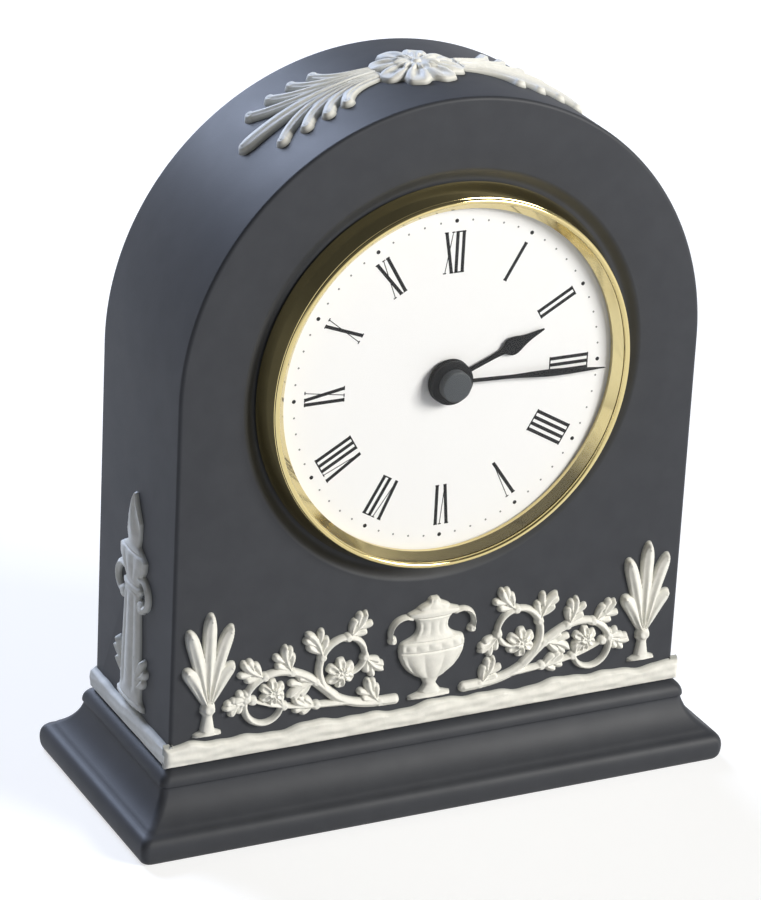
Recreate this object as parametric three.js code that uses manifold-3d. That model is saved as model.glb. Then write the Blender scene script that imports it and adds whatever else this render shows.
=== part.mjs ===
// Dome clock in black stoneware with white relief, with a push-fit quartz insert.
// Millimetres, +Z up, origin at the middle of the foot; the dial faces -Y.
import * as THREE from 'three';
import { mergeVertices } from 'three/addons/utils/BufferGeometryUtils.js';
import Module from 'manifold-3d';

const wasm = await Module();
wasm.setup();

// Case
const CASE_WIDTH = 110;
const CASE_DEPTH = 37;
const ARCH_CENTRE_Z = 90;
const CASE_WALL = 6;
const CASE_EDGE = 1.1;
const FLOOR_THICKNESS = 5;
const FOOT_RECESS = 1.2;
const FOOT_RIM = 6;
const REAR_OPENING_RADIUS = 33;

// Plinth profile: how far each part of the moulding stands out, and how high it sits
const PLINTH_TOP = 15.7;
const LEDGE_REACH = 2.3;
const LEDGE_BOTTOM = 13.2;
const COVE_REACH = 6.4;
const COVE_BOTTOM = 8.3;
const GROOVE_HEIGHT = 0.5;
const TORUS_REACH = 8.7;
const TORUS_CENTRE = 4.2;
const FOOT_REACH = 7.4;
const PLINTH_CORNER = 1.6;

// Front bore and its soft lip
const DIAL_Z = 89;
const LIP_WIDTH = 3;
const LIP_DROP = 2.1;

// Clearance between pieces that meet
const GAP = 0.3;

// Movement
const MOVEMENT_WALL = 1.5;
const MOVEMENT_FLOOR = 1.2;
const COVER_THICKNESS = 1.4;
const GEAR_THICKNESS = 0.75;
const LEVEL_STEP = 1.3;
const ARBOR_RADIUS = 0.5;
const PIVOT_CLEARANCE = 0.3;
const MINUTE_ARBOR_RADIUS = 1.25;
const PIPE_WALL = 0.6;
const BUSH_WALL = 0.55;
const BRIDGE_THICKNESS = 1;
const POST_RADIUS = 1.5;
const STUD_RADIUS = 0.75;
const KNOB_RADIUS = 6;
const KNOB_HEIGHT = 4.3;
const KNOB_SHAFT_RADIUS = 1.5;
const CELL_RADIUS = 5.25;
const CELL_LENGTH = 44.5;
const CELL_V = -18.5;
const CELL_ROOM = 0.75;
const CONTACT_DEPTH = 1.65;
const COIL_V = 20.5;
const COIL_RADIUS = 3.3;
const COIL_ROOM = 0.7;

// The box of the movement goes round the cell below and the coil above
const ROOM_HALF_WIDTH = CELL_LENGTH / 2 + CONTACT_DEPTH + 2 * GAP;
const ROOM_TOP = COIL_V + COIL_RADIUS + COIL_ROOM;
const ROOM_BOTTOM = CELL_V - CELL_RADIUS - CELL_ROOM;
const BOX_HALF_WIDTH = ROOM_HALF_WIDTH + MOVEMENT_WALL;
const BOX_TOP = ROOM_TOP + MOVEMENT_WALL;
const BOX_BOTTOM = ROOM_BOTTOM - MOVEMENT_WALL;

// Insert: its radii follow outwards from the corners of the movement, which reach past the dial that shows
const CORNER_REACH = 1.87;
const DIAL_VISIBLE_RADIUS = Math.hypot(BOX_HALF_WIDTH, BOX_TOP) - CORNER_REACH;
const REFLECTOR_WIDTH = 1.55;
const REFLECTOR_LIP = 0.9;
const BEZEL_BEAD = 0.55;
const BEZEL_CREST_INSET = 0.8;
const BEZEL_RIM_REACH = 1.4;
const BEZEL_WALL = 0.45;
const BEZEL_SKIRT_DEPTH = 5.2;
const BEZEL_LEDGE = 0.08;
const CRYSTAL_THICKNESS = 1;
const CRYSTAL_RISE = 2.5;
const DIAL_THICKNESS = 0.8;
const DIAL_FRONT = -0.83;
const CRYSTAL_OVER_DIAL = 1.75;
const PAN_FLOOR = 1.5;
const PAN_WALL = 1.8;
const PAN_FLANGE_REACH = 0.1;
const GASKET_THICKNESS = 0.8;

const BEZEL_CREST_RADIUS = DIAL_VISIBLE_RADIUS + REFLECTOR_WIDTH + BEZEL_BEAD;
const BEZEL_SKIRT_RADIUS = BEZEL_CREST_RADIUS + BEZEL_CREST_INSET;
const BEZEL_RIM_RADIUS = BEZEL_SKIRT_RADIUS + BEZEL_RIM_REACH;
const PAN_FLANGE_RADIUS = BEZEL_SKIRT_RADIUS + PAN_FLANGE_REACH;
const GASKET_RADIUS = BEZEL_SKIRT_RADIUS + GASKET_THICKNESS;
const BORE_RADIUS = GASKET_RADIUS + GAP;
const LIP_RADIUS = BORE_RADIUS + LIP_WIDTH;
const LIP_ROUND = (LIP_WIDTH ** 2 + LIP_DROP ** 2) / (2 * LIP_DROP);

// Hands
const MINUTES_PAST_TWO = 15.4;
const MINUTE_HAND_LENGTH = DIAL_VISIBLE_RADIUS - 1.6;
const HOUR_HAND_LENGTH = DIAL_VISIBLE_RADIUS * 0.613;
const HAND_THICKNESS = 0.4;
const HOUR_HAND_FRONT = -1.75;
const MINUTE_HAND_FRONT = -2.5;
const HOUR_BOSS_RADIUS = 4.5;
const MINUTE_BOSS_RADIUS = 4.4;
const MINUTE_BOSS_FRONT = -2.9;
const CAP_RADIUS = 3.05;
const CAP_FRONT = -5;

// Relief
const RELIEF_GAP = 0.3;
const BAND_BOTTOM = 16;
const BAND_TOP = 20.3;
const BAND_THICKNESS = 1;
const FRIEZE_HALF_WIDTH = CASE_WIDTH / 2 - 5;
const URN_HEIGHT = 22;
const PALMETTE_HEIGHT = 20;
const LEAF_WIDTH = 3.4;
const SIDE_ORNAMENT_TOP = 66;
const ROSETTE_RADIUS = 10;
const CROWN_SINK = 1;
const CROWN_LEAF_TIP = 38.5;
const CROWN_LEAF_HALF_WIDTH = 8.2;

const GROUND = BAND_TOP + 1.15;
const ROUND = 30;
const ROUND_INSIDE = 20;

const FINISHES = {
  stoneware: { color: 0x47484c, roughness: 0.62, metalness: 0 },
  relief: { color: 0xe6e7e2, roughness: 0.6, metalness: 0 },
  brass: { color: 0xd8be6e, roughness: 0.15, metalness: 1 },
  glass: { color: 0xffffff, roughness: 0.02, metalness: 0, transparent: true, opacity: 0.25 },
  dial: { color: 0xfdfdfd, roughness: 0.5, metalness: 0 },
  hands: { color: 0x2e3033, roughness: 0.45, metalness: 0 },
  rubber: { color: 0x1c1c1c, roughness: 0.8, metalness: 0 },
  housing: { color: 0x222324, roughness: 0.5, metalness: 0 },
  gears: { color: 0xe9e5d6, roughness: 0.45, metalness: 0 },
  steel: { color: 0xb8b8b4, roughness: 0.35, metalness: 1 },
  copper: { color: 0xb4602f, roughness: 0.35, metalness: 1 },
  board: { color: 0x2c6a3f, roughness: 0.55, metalness: 0 },
  cell: { color: 0x4a4d52, roughness: 0.4, metalness: 0.3 },
};

// Solids

// Turns every face outwards when the closed geometry's signed volume is negative.
function facingOut(geometry) {
  const index = geometry.getIndex().array;
  const place = geometry.getAttribute('position');
  const corner = [new THREE.Vector3(), new THREE.Vector3(), new THREE.Vector3()];
  let volume = 0;
  for (let i = 0; i < index.length; i += 3) {
    corner.forEach((point, k) => point.fromBufferAttribute(place, index[i + k]));
    volume += corner[0].dot(corner[1].cross(corner[2]));
  }
  if (volume < 0) {
    const turned = [];
    for (let i = 0; i < index.length; i += 3) turned.push(index[i], index[i + 2], index[i + 1]);
    geometry.setIndex(turned);
  }
  return geometry;
}

// Welds shared corners and drops the triangles that shrink to a line at a pole.
function weld(geometry) {
  const bare = geometry.clone();
  bare.deleteAttribute('normal');
  bare.deleteAttribute('uv');
  const merged = mergeVertices(bare);
  const index = merged.getIndex().array;
  const kept = [];
  for (let i = 0; i < index.length; i += 3) {
    const [a, b, c] = [index[i], index[i + 1], index[i + 2]];
    if (a !== b && b !== c && c !== a) kept.push(a, b, c);
  }
  merged.setIndex(kept);
  return facingOut(merged);
}

function solidOf(geometry) {
  const closed = weld(geometry);
  return new wasm.Manifold(new wasm.Mesh({
    numProp: 3,
    vertProperties: Float32Array.from(closed.getAttribute('position').array),
    triVerts: Uint32Array.from(closed.getIndex().array),
  }));
}

function geometryOf(solid) {
  const mesh = solid.getMesh();
  const geometry = new THREE.BufferGeometry();
  geometry.setAttribute('position', new THREE.BufferAttribute(mesh.vertProperties, 3));
  geometry.setIndex(new THREE.BufferAttribute(mesh.triVerts, 1));
  return geometry;
}

function join(solids) {
  return solids.reduce((whole, solid) => whole.add(solid));
}

function cut(solid, tools) {
  return tools.reduce((rest, tool) => rest.subtract(tool), solid);
}

// A closed skin over rings that have the same number of points, with flat ends.
function loft(rings) {
  const count = rings[0].length;
  const points = rings.flat();
  const faces = [];
  for (let k = 0; k + 1 < rings.length; k += 1) {
    for (let i = 0; i < count; i += 1) {
      const a = k * count + i;
      const b = k * count + ((i + 1) % count);
      faces.push(a, b, a + count, b, b + count, a + count);
    }
  }
  const last = (rings.length - 1) * count;
  for (let i = 1; i + 1 < count; i += 1) {
    faces.push(0, i + 1, i);
    faces.push(last, last + i, last + i + 1);
  }
  const geometry = new THREE.BufferGeometry().setFromPoints(points);
  geometry.setIndex(faces);
  return geometry;
}

// Solid of revolution about the dial axis, from [radius, depth] pairs.
function turned(profile, segments = ROUND) {
  const points = profile.map(([radius, depth]) => new THREE.Vector2(radius, depth));
  return solidOf(new THREE.LatheGeometry(points, segments));
}

function turnedRing(profile, segments = ROUND) {
  return turned([...profile, profile[0]], segments);
}

// Flat plate of an outline in the dial plane, between two depths.
function plate(outline, front, back, curveSegments = 8) {
  const settings = { depth: back - front, bevelEnabled: false, curveSegments };
  const geometry = new THREE.ExtrudeGeometry(outline, settings);
  geometry.rotateX(Math.PI / 2);
  geometry.translate(0, back, 0);
  return solidOf(geometry);
}

function rectangle(left, right, low, high) {
  const shape = new THREE.Shape();
  shape.moveTo(left, low);
  shape.lineTo(right, low);
  shape.lineTo(right, high);
  shape.lineTo(left, high);
  shape.closePath();
  return shape;
}

function block(left, right, front, back, low, high) {
  return plate(rectangle(left, right, low, high), front, back);
}

// Round bar along the dial axis at a place in the dial plane.
function bar(x, v, radius, front, back, segments = 16) {
  const geometry = new THREE.CylinderGeometry(radius, radius, back - front, segments);
  geometry.translate(x, (front + back) / 2, v);
  return solidOf(geometry);
}

function arc(centreX, centreY, radius, from, to, steps) {
  return Array.from({ length: steps + 1 }, (_, i) => {
    const angle = from + ((to - from) * i) / steps;
    return [centreX + radius * Math.cos(angle), centreY + radius * Math.sin(angle)];
  });
}

// Case

function archOutline(halfWidth, bottom) {
  const shape = new THREE.Shape();
  shape.moveTo(-halfWidth, bottom);
  shape.lineTo(halfWidth, bottom);
  shape.absarc(0, ARCH_CENTRE_Z, halfWidth, 0, Math.PI, false);
  shape.closePath();
  return shape;
}

// The arch with its front and back edges rounded over.
function archBody() {
  const geometry = new THREE.ExtrudeGeometry(archOutline(CASE_WIDTH / 2, FLOOR_THICKNESS), {
    depth: CASE_DEPTH - 2 * CASE_EDGE,
    bevelThickness: CASE_EDGE,
    bevelSize: CASE_EDGE,
    bevelOffset: -CASE_EDGE,
    bevelSegments: 2,
    curveSegments: 16,
  });
  geometry.translate(0, 0, -(CASE_DEPTH / 2 - CASE_EDGE));
  geometry.rotateX(Math.PI / 2);
  return solidOf(geometry);
}

// Half section of the plinth moulding: reach beyond the arch wall, and height.
function plinthProfile() {
  const path = new THREE.Path();
  path.moveTo(FOOT_REACH, 0);
  path.quadraticCurveTo(TORUS_REACH, 0.6, TORUS_REACH, TORUS_CENTRE);
  const grooveBottom = COVE_BOTTOM - GROOVE_HEIGHT;
  path.quadraticCurveTo(TORUS_REACH, grooveBottom, COVE_REACH + 0.3, grooveBottom);
  path.lineTo(COVE_REACH, COVE_BOTTOM);
  const coveMiddle = (LEDGE_BOTTOM + COVE_BOTTOM) / 2;
  path.quadraticCurveTo(LEDGE_REACH + 1.2, coveMiddle, LEDGE_REACH + 0.2, LEDGE_BOTTOM - 0.3);
  path.lineTo(LEDGE_REACH, LEDGE_BOTTOM);
  path.quadraticCurveTo(LEDGE_REACH - 0.3, PLINTH_TOP - 0.6, 0, PLINTH_TOP);
  path.lineTo(-CASE_EDGE * 2, PLINTH_TOP);
  return path.getPoints(3).map((point) => [point.x, point.y]);
}

function roundedRing(halfWidth, halfDepth, corner, height) {
  const points = [];
  const centres = [[1, -1, -90], [1, 1, 0], [-1, 1, 90], [-1, -1, 180]];
  centres.forEach(([sideX, sideY, start]) => {
    const from = THREE.MathUtils.degToRad(start);
    const x = sideX * (halfWidth - corner);
    const y = sideY * (halfDepth - corner);
    arc(x, y, corner, from, from + Math.PI / 2, 2).forEach(([px, py]) => {
      points.push(new THREE.Vector3(px, py, height));
    });
  });
  return points;
}

function plinthBody() {
  const rings = plinthProfile().map(([reach, height]) => (
    roundedRing(CASE_WIDTH / 2 + reach, CASE_DEPTH / 2 + reach, PLINTH_CORNER, height)));
  return solidOf(loft(rings));
}

// Depth of the soft lip's surface behind the front face, at a radius.
function lipDrop(radius) {
  return LIP_ROUND - Math.sqrt(LIP_ROUND ** 2 - (LIP_RADIUS - radius) ** 2);
}

function frontBoreTool() {
  const steps = 3;
  const lip = Array.from({ length: steps + 1 }, (_, i) => {
    const radius = LIP_RADIUS + ((BORE_RADIUS - LIP_RADIUS) * i) / steps;
    return [radius, lipDrop(radius)];
  });
  return turned([[0, -1], [LIP_RADIUS, -1], ...lip, [BORE_RADIUS, CASE_WALL + 1], [0, CASE_WALL + 1]]);
}

function rearOpeningTool() {
  const chamfer = 0.8;
  return turned([
    [0, CASE_DEPTH - CASE_WALL - 1],
    [REAR_OPENING_RADIUS, CASE_DEPTH - CASE_WALL - 1],
    [REAR_OPENING_RADIUS, CASE_DEPTH - chamfer],
    [REAR_OPENING_RADIUS + chamfer, CASE_DEPTH],
    [REAR_OPENING_RADIUS + chamfer, CASE_DEPTH + 1],
    [0, CASE_DEPTH + 1],
  ]);
}

function caseBody() {
  const inside = plate(
    archOutline(CASE_WIDTH / 2 - CASE_WALL, FLOOR_THICKNESS + FOOT_RECESS),
    -CASE_DEPTH / 2 + CASE_WALL,
    CASE_DEPTH / 2 - CASE_WALL,
    10,
  );
  const rimHalfWidth = CASE_WIDTH / 2 + FOOT_REACH - FOOT_RIM;
  const rimHalfDepth = CASE_DEPTH / 2 + FOOT_REACH - FOOT_RIM;
  const recess = solidOf(loft([
    roundedRing(rimHalfWidth, rimHalfDepth, PLINTH_CORNER, -1),
    roundedRing(rimHalfWidth, rimHalfDepth, PLINTH_CORNER, FOOT_RECESS),
  ]));
  const bores = [frontBoreTool(), rearOpeningTool()].map((tool) => (
    tool.translate([0, -CASE_DEPTH / 2, DIAL_Z])));
  return cut(archBody().add(plinthBody()), [inside, recess, ...bores]);
}

// Relief

// Places a relief point: along the wall, up the wall, and out from it.
const frontWall = (s, t, h) => new THREE.Vector3(s, -CASE_DEPTH / 2 - RELIEF_GAP - h, t);
const leftWall = (s, t, h) => new THREE.Vector3(-CASE_WIDTH / 2 - RELIEF_GAP - h, -s, t);
const rightWall = (s, t, h) => new THREE.Vector3(CASE_WIDTH / 2 + RELIEF_GAP + h, s, t);
const crown = (s, t, h) => {
  const radius = CASE_WIDTH / 2 + RELIEF_GAP + (h > 0 ? h : -CROWN_SINK);
  const angle = s / (CASE_WIDTH / 2);
  return new THREE.Vector3(radius * Math.sin(angle), t, ARCH_CENTRE_Z + radius * Math.cos(angle));
};

// A drawing that stands on the ground strip of a wall, mirrored by its side and scaled by a unit.
function drawnOn(wall, side, unit) {
  return (s, t, h) => wall(side * s * unit, GROUND + t * unit, h * unit);
}

// Trims the underside of a crown relief to the curve of the arch.
function seatedOnCrown(solid) {
  const room = plate(
    archOutline(CASE_WIDTH / 2 + RELIEF_GAP, ARCH_CENTRE_Z - 5), -CASE_DEPTH / 2 - 1, CASE_DEPTH / 2 + 1, 24);
  return solid.subtract(room);
}

const LEAF_SECTION = [[-1, 0], [-0.55, 0.9], [0.55, 0.9], [1, 0]];
const STEM_SECTION = [[-1, 0], [0, 1], [1, 0]];

// A rounded ridge along a line of stations {s, t, half, rise}, lying on a wall.
function ridge(stations, wall, section = LEAF_SECTION) {
  const rings = stations.map((station, i) => {
    const before = stations[Math.max(i - 1, 0)];
    const after = stations[Math.min(i + 1, stations.length - 1)];
    const along = new THREE.Vector2(after.s - before.s, after.t - before.t).normalize();
    return section.map(([across, up]) => wall(
      station.s - along.y * across * station.half,
      station.t + along.x * across * station.half,
      up * station.rise,
    ));
  });
  return solidOf(loft(rings));
}

// Stations of a line that starts at a place, heads at an angle, bends evenly by a turn and
// ever more tightly by a curl. Shares are the stations' places along its length, from 0 to 1.
function sweep({ s, t, heading, length, turn = 0, curl = 0, shares, half, rise }) {
  const headingAt = (u) => heading + turn * u + curl * u * u;
  const stations = [{ s, t, heading, half: half(0), rise: rise(0) }];
  for (let i = 1; i < shares.length; i += 1) {
    const last = stations[i - 1];
    const stride = length * (shares[i] - shares[i - 1]);
    const middle = headingAt((shares[i] + shares[i - 1]) / 2);
    stations.push({
      s: last.s + stride * Math.cos(middle),
      t: last.t + stride * Math.sin(middle),
      heading: headingAt(shares[i]),
      half: half(shares[i]),
      rise: rise(shares[i]),
    });
  }
  return stations;
}

function evenShares(steps) {
  return Array.from({ length: steps + 1 }, (_, i) => i / steps);
}

// A leaf lobe: narrow at its root, fullest at four fifths of its length, with a round tip.
function lobe(spec, wall, section = LEAF_SECTION) {
  const { width, height = 1.3, root = 0.35, shares = [0, 0.5, 0.8, 0.95, 1] } = spec;
  const swell = (u) => (u < 0.8 ? root + (1 - root) * Math.sin((u / 0.8) * (Math.PI / 2))
    : Math.sqrt(Math.max(1 - ((u - 0.8) / 0.2) ** 2, 0.12)));
  const half = (u) => (width / 2) * swell(u);
  const rise = (u) => height * (u === 1 ? 0.5 : 0.8 + 0.2 * u);
  return ridge(sweep({ ...spec, shares, half, rise }), wall, section);
}

// Stations of a stem of even taper.
function stemStations(spec) {
  const { width, end = 0.5, height = 1.1, steps } = spec;
  const half = (u) => (width / 2) * (1 + (end - 1) * u);
  return sweep({ ...spec, shares: evenShares(steps), half, rise: () => height });
}

// A low dome whose outline is scalloped into petals, or plain where there are none.
function boss({ s, t, radius, height, wall, petals = 0, sides = 8, steps = 3 }) {
  const points = petals > 0 ? petals * Math.round(3 + radius / 10) : sides;
  const outline = Array.from({ length: points }, (_, i) => {
    const angle = (2 * Math.PI * i) / points;
    const notch = petals > 0 ? 1 - 0.3 * (Math.abs(Math.cos((angle * petals) / 2)) ** 4) : 1;
    return [radius * notch * Math.cos(angle), radius * notch * Math.sin(angle)];
  });
  const rings = Array.from({ length: steps }, (_, k) => {
    const lift = (k / (steps - 1)) * (Math.PI / 2);
    const share = 0.45 + 0.55 * Math.cos(lift);
    return outline.map(([x, y]) => wall(s + x * share, t + y * share, height * Math.sin(lift)));
  });
  return solidOf(loft(rings));
}

// A scalloped ring of petals round a plain middle.
function rosette({ s, t, radius, petals, height = 1.3, wall, steps = 2 }) {
  const middle = { s, t, radius: radius * 0.4, height: height * 1.35, wall, sides: 8, steps };
  return boss({ s, t, radius, height, wall, petals, steps }).add(boss(middle));
}

// Half-round turned form standing on a wall, from [height, half width] pairs.
function baluster(s, bottom, profile, depth, wall) {
  const widest = Math.max(...profile.map(([, half]) => half));
  return ridge(profile.map(([up, half]) => ({
    s, t: bottom + up, half, rise: depth * (0.45 + 0.55 * (half / widest)),
  })), wall);
}

// A narrow fan of lobes whose tips curl outwards.
function palmette({ s, t, height, lobes, wall }) {
  const parts = [boss({ s, t, radius: 1.6, height: 1.5, wall })];
  const spread = (lobes - 1) / 2;
  for (let i = -spread; i <= spread; i += 1) {
    const lean = i / spread;
    const heading = Math.PI / 2 - lean * 0.5;
    const length = height * (1 - 0.5 * lean * lean);
    parts.push(lobe({ s, t, heading, length, turn: lean * 0.5, curl: -lean * 0.8, width: 3 }, wall));
  }
  return join(parts);
}

function friezeUrn() {
  const profile = [
    [0, 4.6], [1.1, 4.6], [1.4, 2.6], [3.2, 1.3], [4.4, 1.9], [5, 3.2], [8, 6.2], [11, 7.2],
    [13, 6.9], [13.6, 4.6], [15.5, 3.4], [17.4, 3.9], [18.2, 5.6], [19.2, 5.6], [19.4, 3.8],
    [20.6, 2.6], [21.4, 1.5], [22, 0.5],
  ];
  const wall = drawnOn(frontWall, 1, URN_HEIGHT / 22);
  const parts = [baluster(0, 0, profile, 2.2, wall)];
  [-1, 1].forEach((side) => {
    parts.push(ridge(stemStations({
      s: side * 4.8, t: 17.9, heading: Math.PI / 2 - side * 1.1, length: 7.6, turn: -side * 2.6,
      width: 1.3, end: 0.9, height: 1.2, steps: 6,
    }), wall));
  });
  return join(parts);
}

// Places a small crested lobe on a station of a stem, leaning off the stem by an angle.
function leafOn(stations, at, lean, length, wall) {
  const { s, t, heading } = stations[at];
  const curl = Math.sign(lean) * 0.8;
  const shares = [0, 0.5, 0.85, 1];
  const spec = { s, t, heading: heading + lean, length, width: LEAF_WIDTH, curl, shares, height: 1.2 };
  return lobe(spec, wall, STEM_SECTION);
}

// Scrolling acanthus from the urn to one end of the frieze: two spirals that end in rosettes, and a shoot.
function friezeScroll(side) {
  const wall = drawnOn(frontWall, side, FRIEZE_HALF_WIDTH / 50);
  const first = stemStations({
    s: 7.6, t: 0.9, heading: 0.02, length: 44, turn: -0.1, curl: 6.9, width: 2.3, steps: 13,
  });
  const second = stemStations({
    s: first[4].s, t: first[4].t, heading: 0.75, length: 41, turn: 0.5, curl: -7.2, width: 2.2, steps: 14,
  });
  const shoot = stemStations({
    s: first[3].s, t: first[3].t, heading: first[3].heading - 0.3, length: 21, turn: -0.1, curl: 0.5,
    width: 1.8, steps: 6,
  });
  const growth = [
    [first, [[1, 0.8, 6], [7, -0.7, 6.5], [9, -0.8, 6], [11, -0.8, 5]]],
    [second, [[2, -0.8, 6], [4, 0.75, 6], [6, 0.8, 6], [8, 0.8, 4.5]]],
    [shoot, [[2, 0.05, 5], [4, 0.6, 5], [6, -0.1, 4]]],
  ];
  const parts = growth.flatMap(([stations, leaves]) => [
    ridge(stations, wall, STEM_SECTION),
    ...leaves.map(([at, lean, length]) => leafOn(stations, at, lean, length, wall)),
  ]);
  [[first, 3.3], [second, 2.9]].forEach(([stations, radius]) => {
    const { s, t } = stations[stations.length - 1];
    parts.push(rosette({ s, t, radius, petals: 6, wall }));
  });
  return join(parts);
}

function friezePalmette(side) {
  const unit = PALMETTE_HEIGHT / 20;
  const wall = drawnOn(frontWall, side, unit);
  const s = FRIEZE_HALF_WIDTH / unit - 2.6;
  return join([
    baluster(s, 0, [[0, 3], [0.9, 3], [1.2, 1.6], [4.5, 1], [5.4, 1.8], [6.2, 1]], 1.6, wall),
    palmette({ s, t: 6, height: 20, lobes: 5, wall }),
  ]);
}

function sideOrnament(sideWall) {
  const top = 44.5;
  const wall = drawnOn(sideWall, 1, (SIDE_ORNAMENT_TOP - GROUND) / top);
  const profile = [
    [0, 5.4], [1.3, 5.4], [1.8, 3.4], [4, 1.8], [6.5, 2.8], [9, 4.4], [11, 3], [12, 1.6], [17, 1.3],
    [20, 2.3], [21, 3.6], [22, 1.6], [27, 1.9], [31, 4.8], [33, 5.6], [33.8, 3.2], [36, 2.4],
    [39, 2.6], [top - 3, 1.5], [top, 0.4],
  ];
  const parts = [baluster(0, 0, profile, 2.2, wall)];
  const shares = [0, 0.5, 0.85, 1];
  const leaves = [
    { start: 1.2, up: 3, lean: 1.1, length: 8, curl: 1.2 },
    { start: 0.9, up: 12, lean: 0.8, length: 8, curl: -1.3 },
    { start: 0.9, up: 22.5, lean: 0.7, length: 7.5, curl: -1.3 },
    { start: 1.2, up: 34, lean: 0.35, length: 8.5, curl: 0.5 },
  ];
  [-1, 1].forEach((side) => {
    leaves.forEach(({ start, up, lean, length, curl }) => {
      const heading = Math.PI / 2 - side * lean;
      const leaf = { s: side * start, t: up, heading, length, curl: side * curl, width: LEAF_WIDTH, shares };
      parts.push(lobe(leaf, wall, STEM_SECTION));
    });
  });
  return join(parts);
}

function crownRosette() {
  return seatedOnCrown(
    rosette({ s: -0.6, t: -1, radius: ROSETTE_RADIUS, petals: 9, height: 1.9, wall: crown, steps: 3 }));
}

// One acanthus leaf: a central lobe and four curling lobes a side, drawn together at the rosette.
function crownLeaf(side) {
  const wall = (s, t, h) => crown(side * s, t - 0.7, h);
  const root = ROSETTE_RADIUS + 2 * GAP;
  const lobes = 4;
  const middle = {
    s: root, t: 0, heading: 0, length: CROWN_LEAF_TIP - root, width: 4.6, height: 1.7,
    shares: [0, 0.4, 0.8, 0.96, 1],
  };
  const parts = [lobe(middle, wall)];
  [-1, 1].forEach((hand) => {
    for (let i = 0; i < lobes; i += 1) {
      const tip = CROWN_LEAF_TIP - 4.2 - i * 4.9;
      const start = root + (lobes - 1 - i) * 0.6;
      const length = Math.hypot(tip - start, CROWN_LEAF_HALF_WIDTH * 0.8) * 1.02;
      parts.push(lobe({
        s: start, t: hand * (0.7 + i * 0.55), heading: hand * (0.1 + i * 0.07), length,
        curl: hand * (0.55 + i * 0.12), width: 3.8, height: 1.6, root: 0.7, shares: [0, 0.5, 0.85, 1],
      }, wall, STEM_SECTION));
    }
  });
  return seatedOnCrown(join(parts));
}

// Uneven top of the ground strip.
function groundTop(x) {
  return BAND_TOP + 0.35 * Math.sin(x * 0.41) + 0.3 * Math.sin(x * 0.97 + 1) + 0.2 * Math.sin(x * 1.73 + 2);
}

function groundBand(halfLength, wall, steps) {
  const spots = Array.from({ length: steps + 1 }, (_, i) => -halfLength + (2 * halfLength * i) / steps);
  const rings = spots.map((s) => {
    const top = groundTop(s);
    return [
      wall(s, BAND_BOTTOM, 0), wall(s, BAND_BOTTOM, BAND_THICKNESS),
      wall(s, top - 0.5, BAND_THICKNESS), wall(s, top, BAND_THICKNESS * 0.55), wall(s, top, 0),
    ];
  });
  return solidOf(loft(rings));
}

// Insert: depths run back from the front face of the case.

const CRYSTAL_BACK = DIAL_FRONT - CRYSTAL_OVER_DIAL;
const CRYSTAL_FRONT = CRYSTAL_BACK - CRYSTAL_THICKNESS;
const SKIRT_INSIDE = BEZEL_SKIRT_RADIUS - BEZEL_WALL;
const SEAT_RADIUS = SKIRT_INSIDE - GAP;
const DIAL_BACK = DIAL_FRONT + DIAL_THICKNESS;
const MOVEMENT_FRONT = DIAL_BACK + 2 * GAP + PAN_FLOOR;
const RIM_BACK = lipDrop(BEZEL_RIM_RADIUS) - GAP;

// Brass bezel: a bead round the crystal, then a steep straight wall down to its rim on the soft lip.
function bezelRing() {
  const ledgeFront = CRYSTAL_FRONT - GAP;
  const beadFoot = ledgeFront - BEZEL_LEDGE;
  const bead = arc(BEZEL_CREST_RADIUS, beadFoot, BEZEL_BEAD, Math.PI, 2 * Math.PI, 3);
  const edge = 0.25;
  return turnedRing([
    ...bead,
    [BEZEL_CREST_RADIUS + BEZEL_BEAD, beadFoot + edge],
    [BEZEL_RIM_RADIUS - edge, RIM_BACK - 2 * edge],
    [BEZEL_RIM_RADIUS, RIM_BACK - edge],
    [BEZEL_RIM_RADIUS, RIM_BACK],
    [BEZEL_SKIRT_RADIUS, RIM_BACK],
    [BEZEL_SKIRT_RADIUS, BEZEL_SKIRT_DEPTH],
    [SKIRT_INSIDE, BEZEL_SKIRT_DEPTH],
    [SKIRT_INSIDE, ledgeFront],
    [BEZEL_CREST_RADIUS - BEZEL_BEAD, ledgeFront],
  ]);
}

// Height of a shallow dome at a radius.
function domeRise(radius, rim, rise) {
  const sphere = (rim ** 2 + rise ** 2) / (2 * rise);
  return Math.sqrt(sphere ** 2 - radius ** 2) - (sphere - rise);
}

function crystal() {
  const step = BEZEL_CREST_RADIUS - BEZEL_BEAD - GAP;
  const rings = 3;
  const share = Array.from({ length: rings + 1 }, (_, i) => i / rings);
  const front = share.map((u) => [step * u, CRYSTAL_FRONT - domeRise(step * u, step, CRYSTAL_RISE)]);
  const back = share.map((u) => [step * u, CRYSTAL_BACK - domeRise(step * u, step, CRYSTAL_RISE)]);
  return turned([...front, [SEAT_RADIUS, CRYSTAL_FRONT], [SEAT_RADIUS, CRYSTAL_BACK], ...back.reverse()]);
}

function reflectorRing() {
  const back = DIAL_FRONT - GAP;
  const front = CRYSTAL_BACK + GAP;
  return turnedRing([
    [SEAT_RADIUS, back], [SEAT_RADIUS, front], [BEZEL_CREST_RADIUS - BEZEL_BEAD, front],
    [DIAL_VISIBLE_RADIUS, back - REFLECTOR_LIP], [DIAL_VISIBLE_RADIUS, back],
  ]);
}

function pipeRadius() {
  return MINUTE_ARBOR_RADIUS + GAP + PIPE_WALL;
}

function bushRadius() {
  return pipeRadius() + GAP + BUSH_WALL;
}

function dialPlate() {
  const hole = bushRadius() + GAP;
  return turnedRing([
    [hole, DIAL_FRONT], [SEAT_RADIUS, DIAL_FRONT], [SEAT_RADIUS, DIAL_BACK], [hole, DIAL_BACK],
  ]);
}

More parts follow.
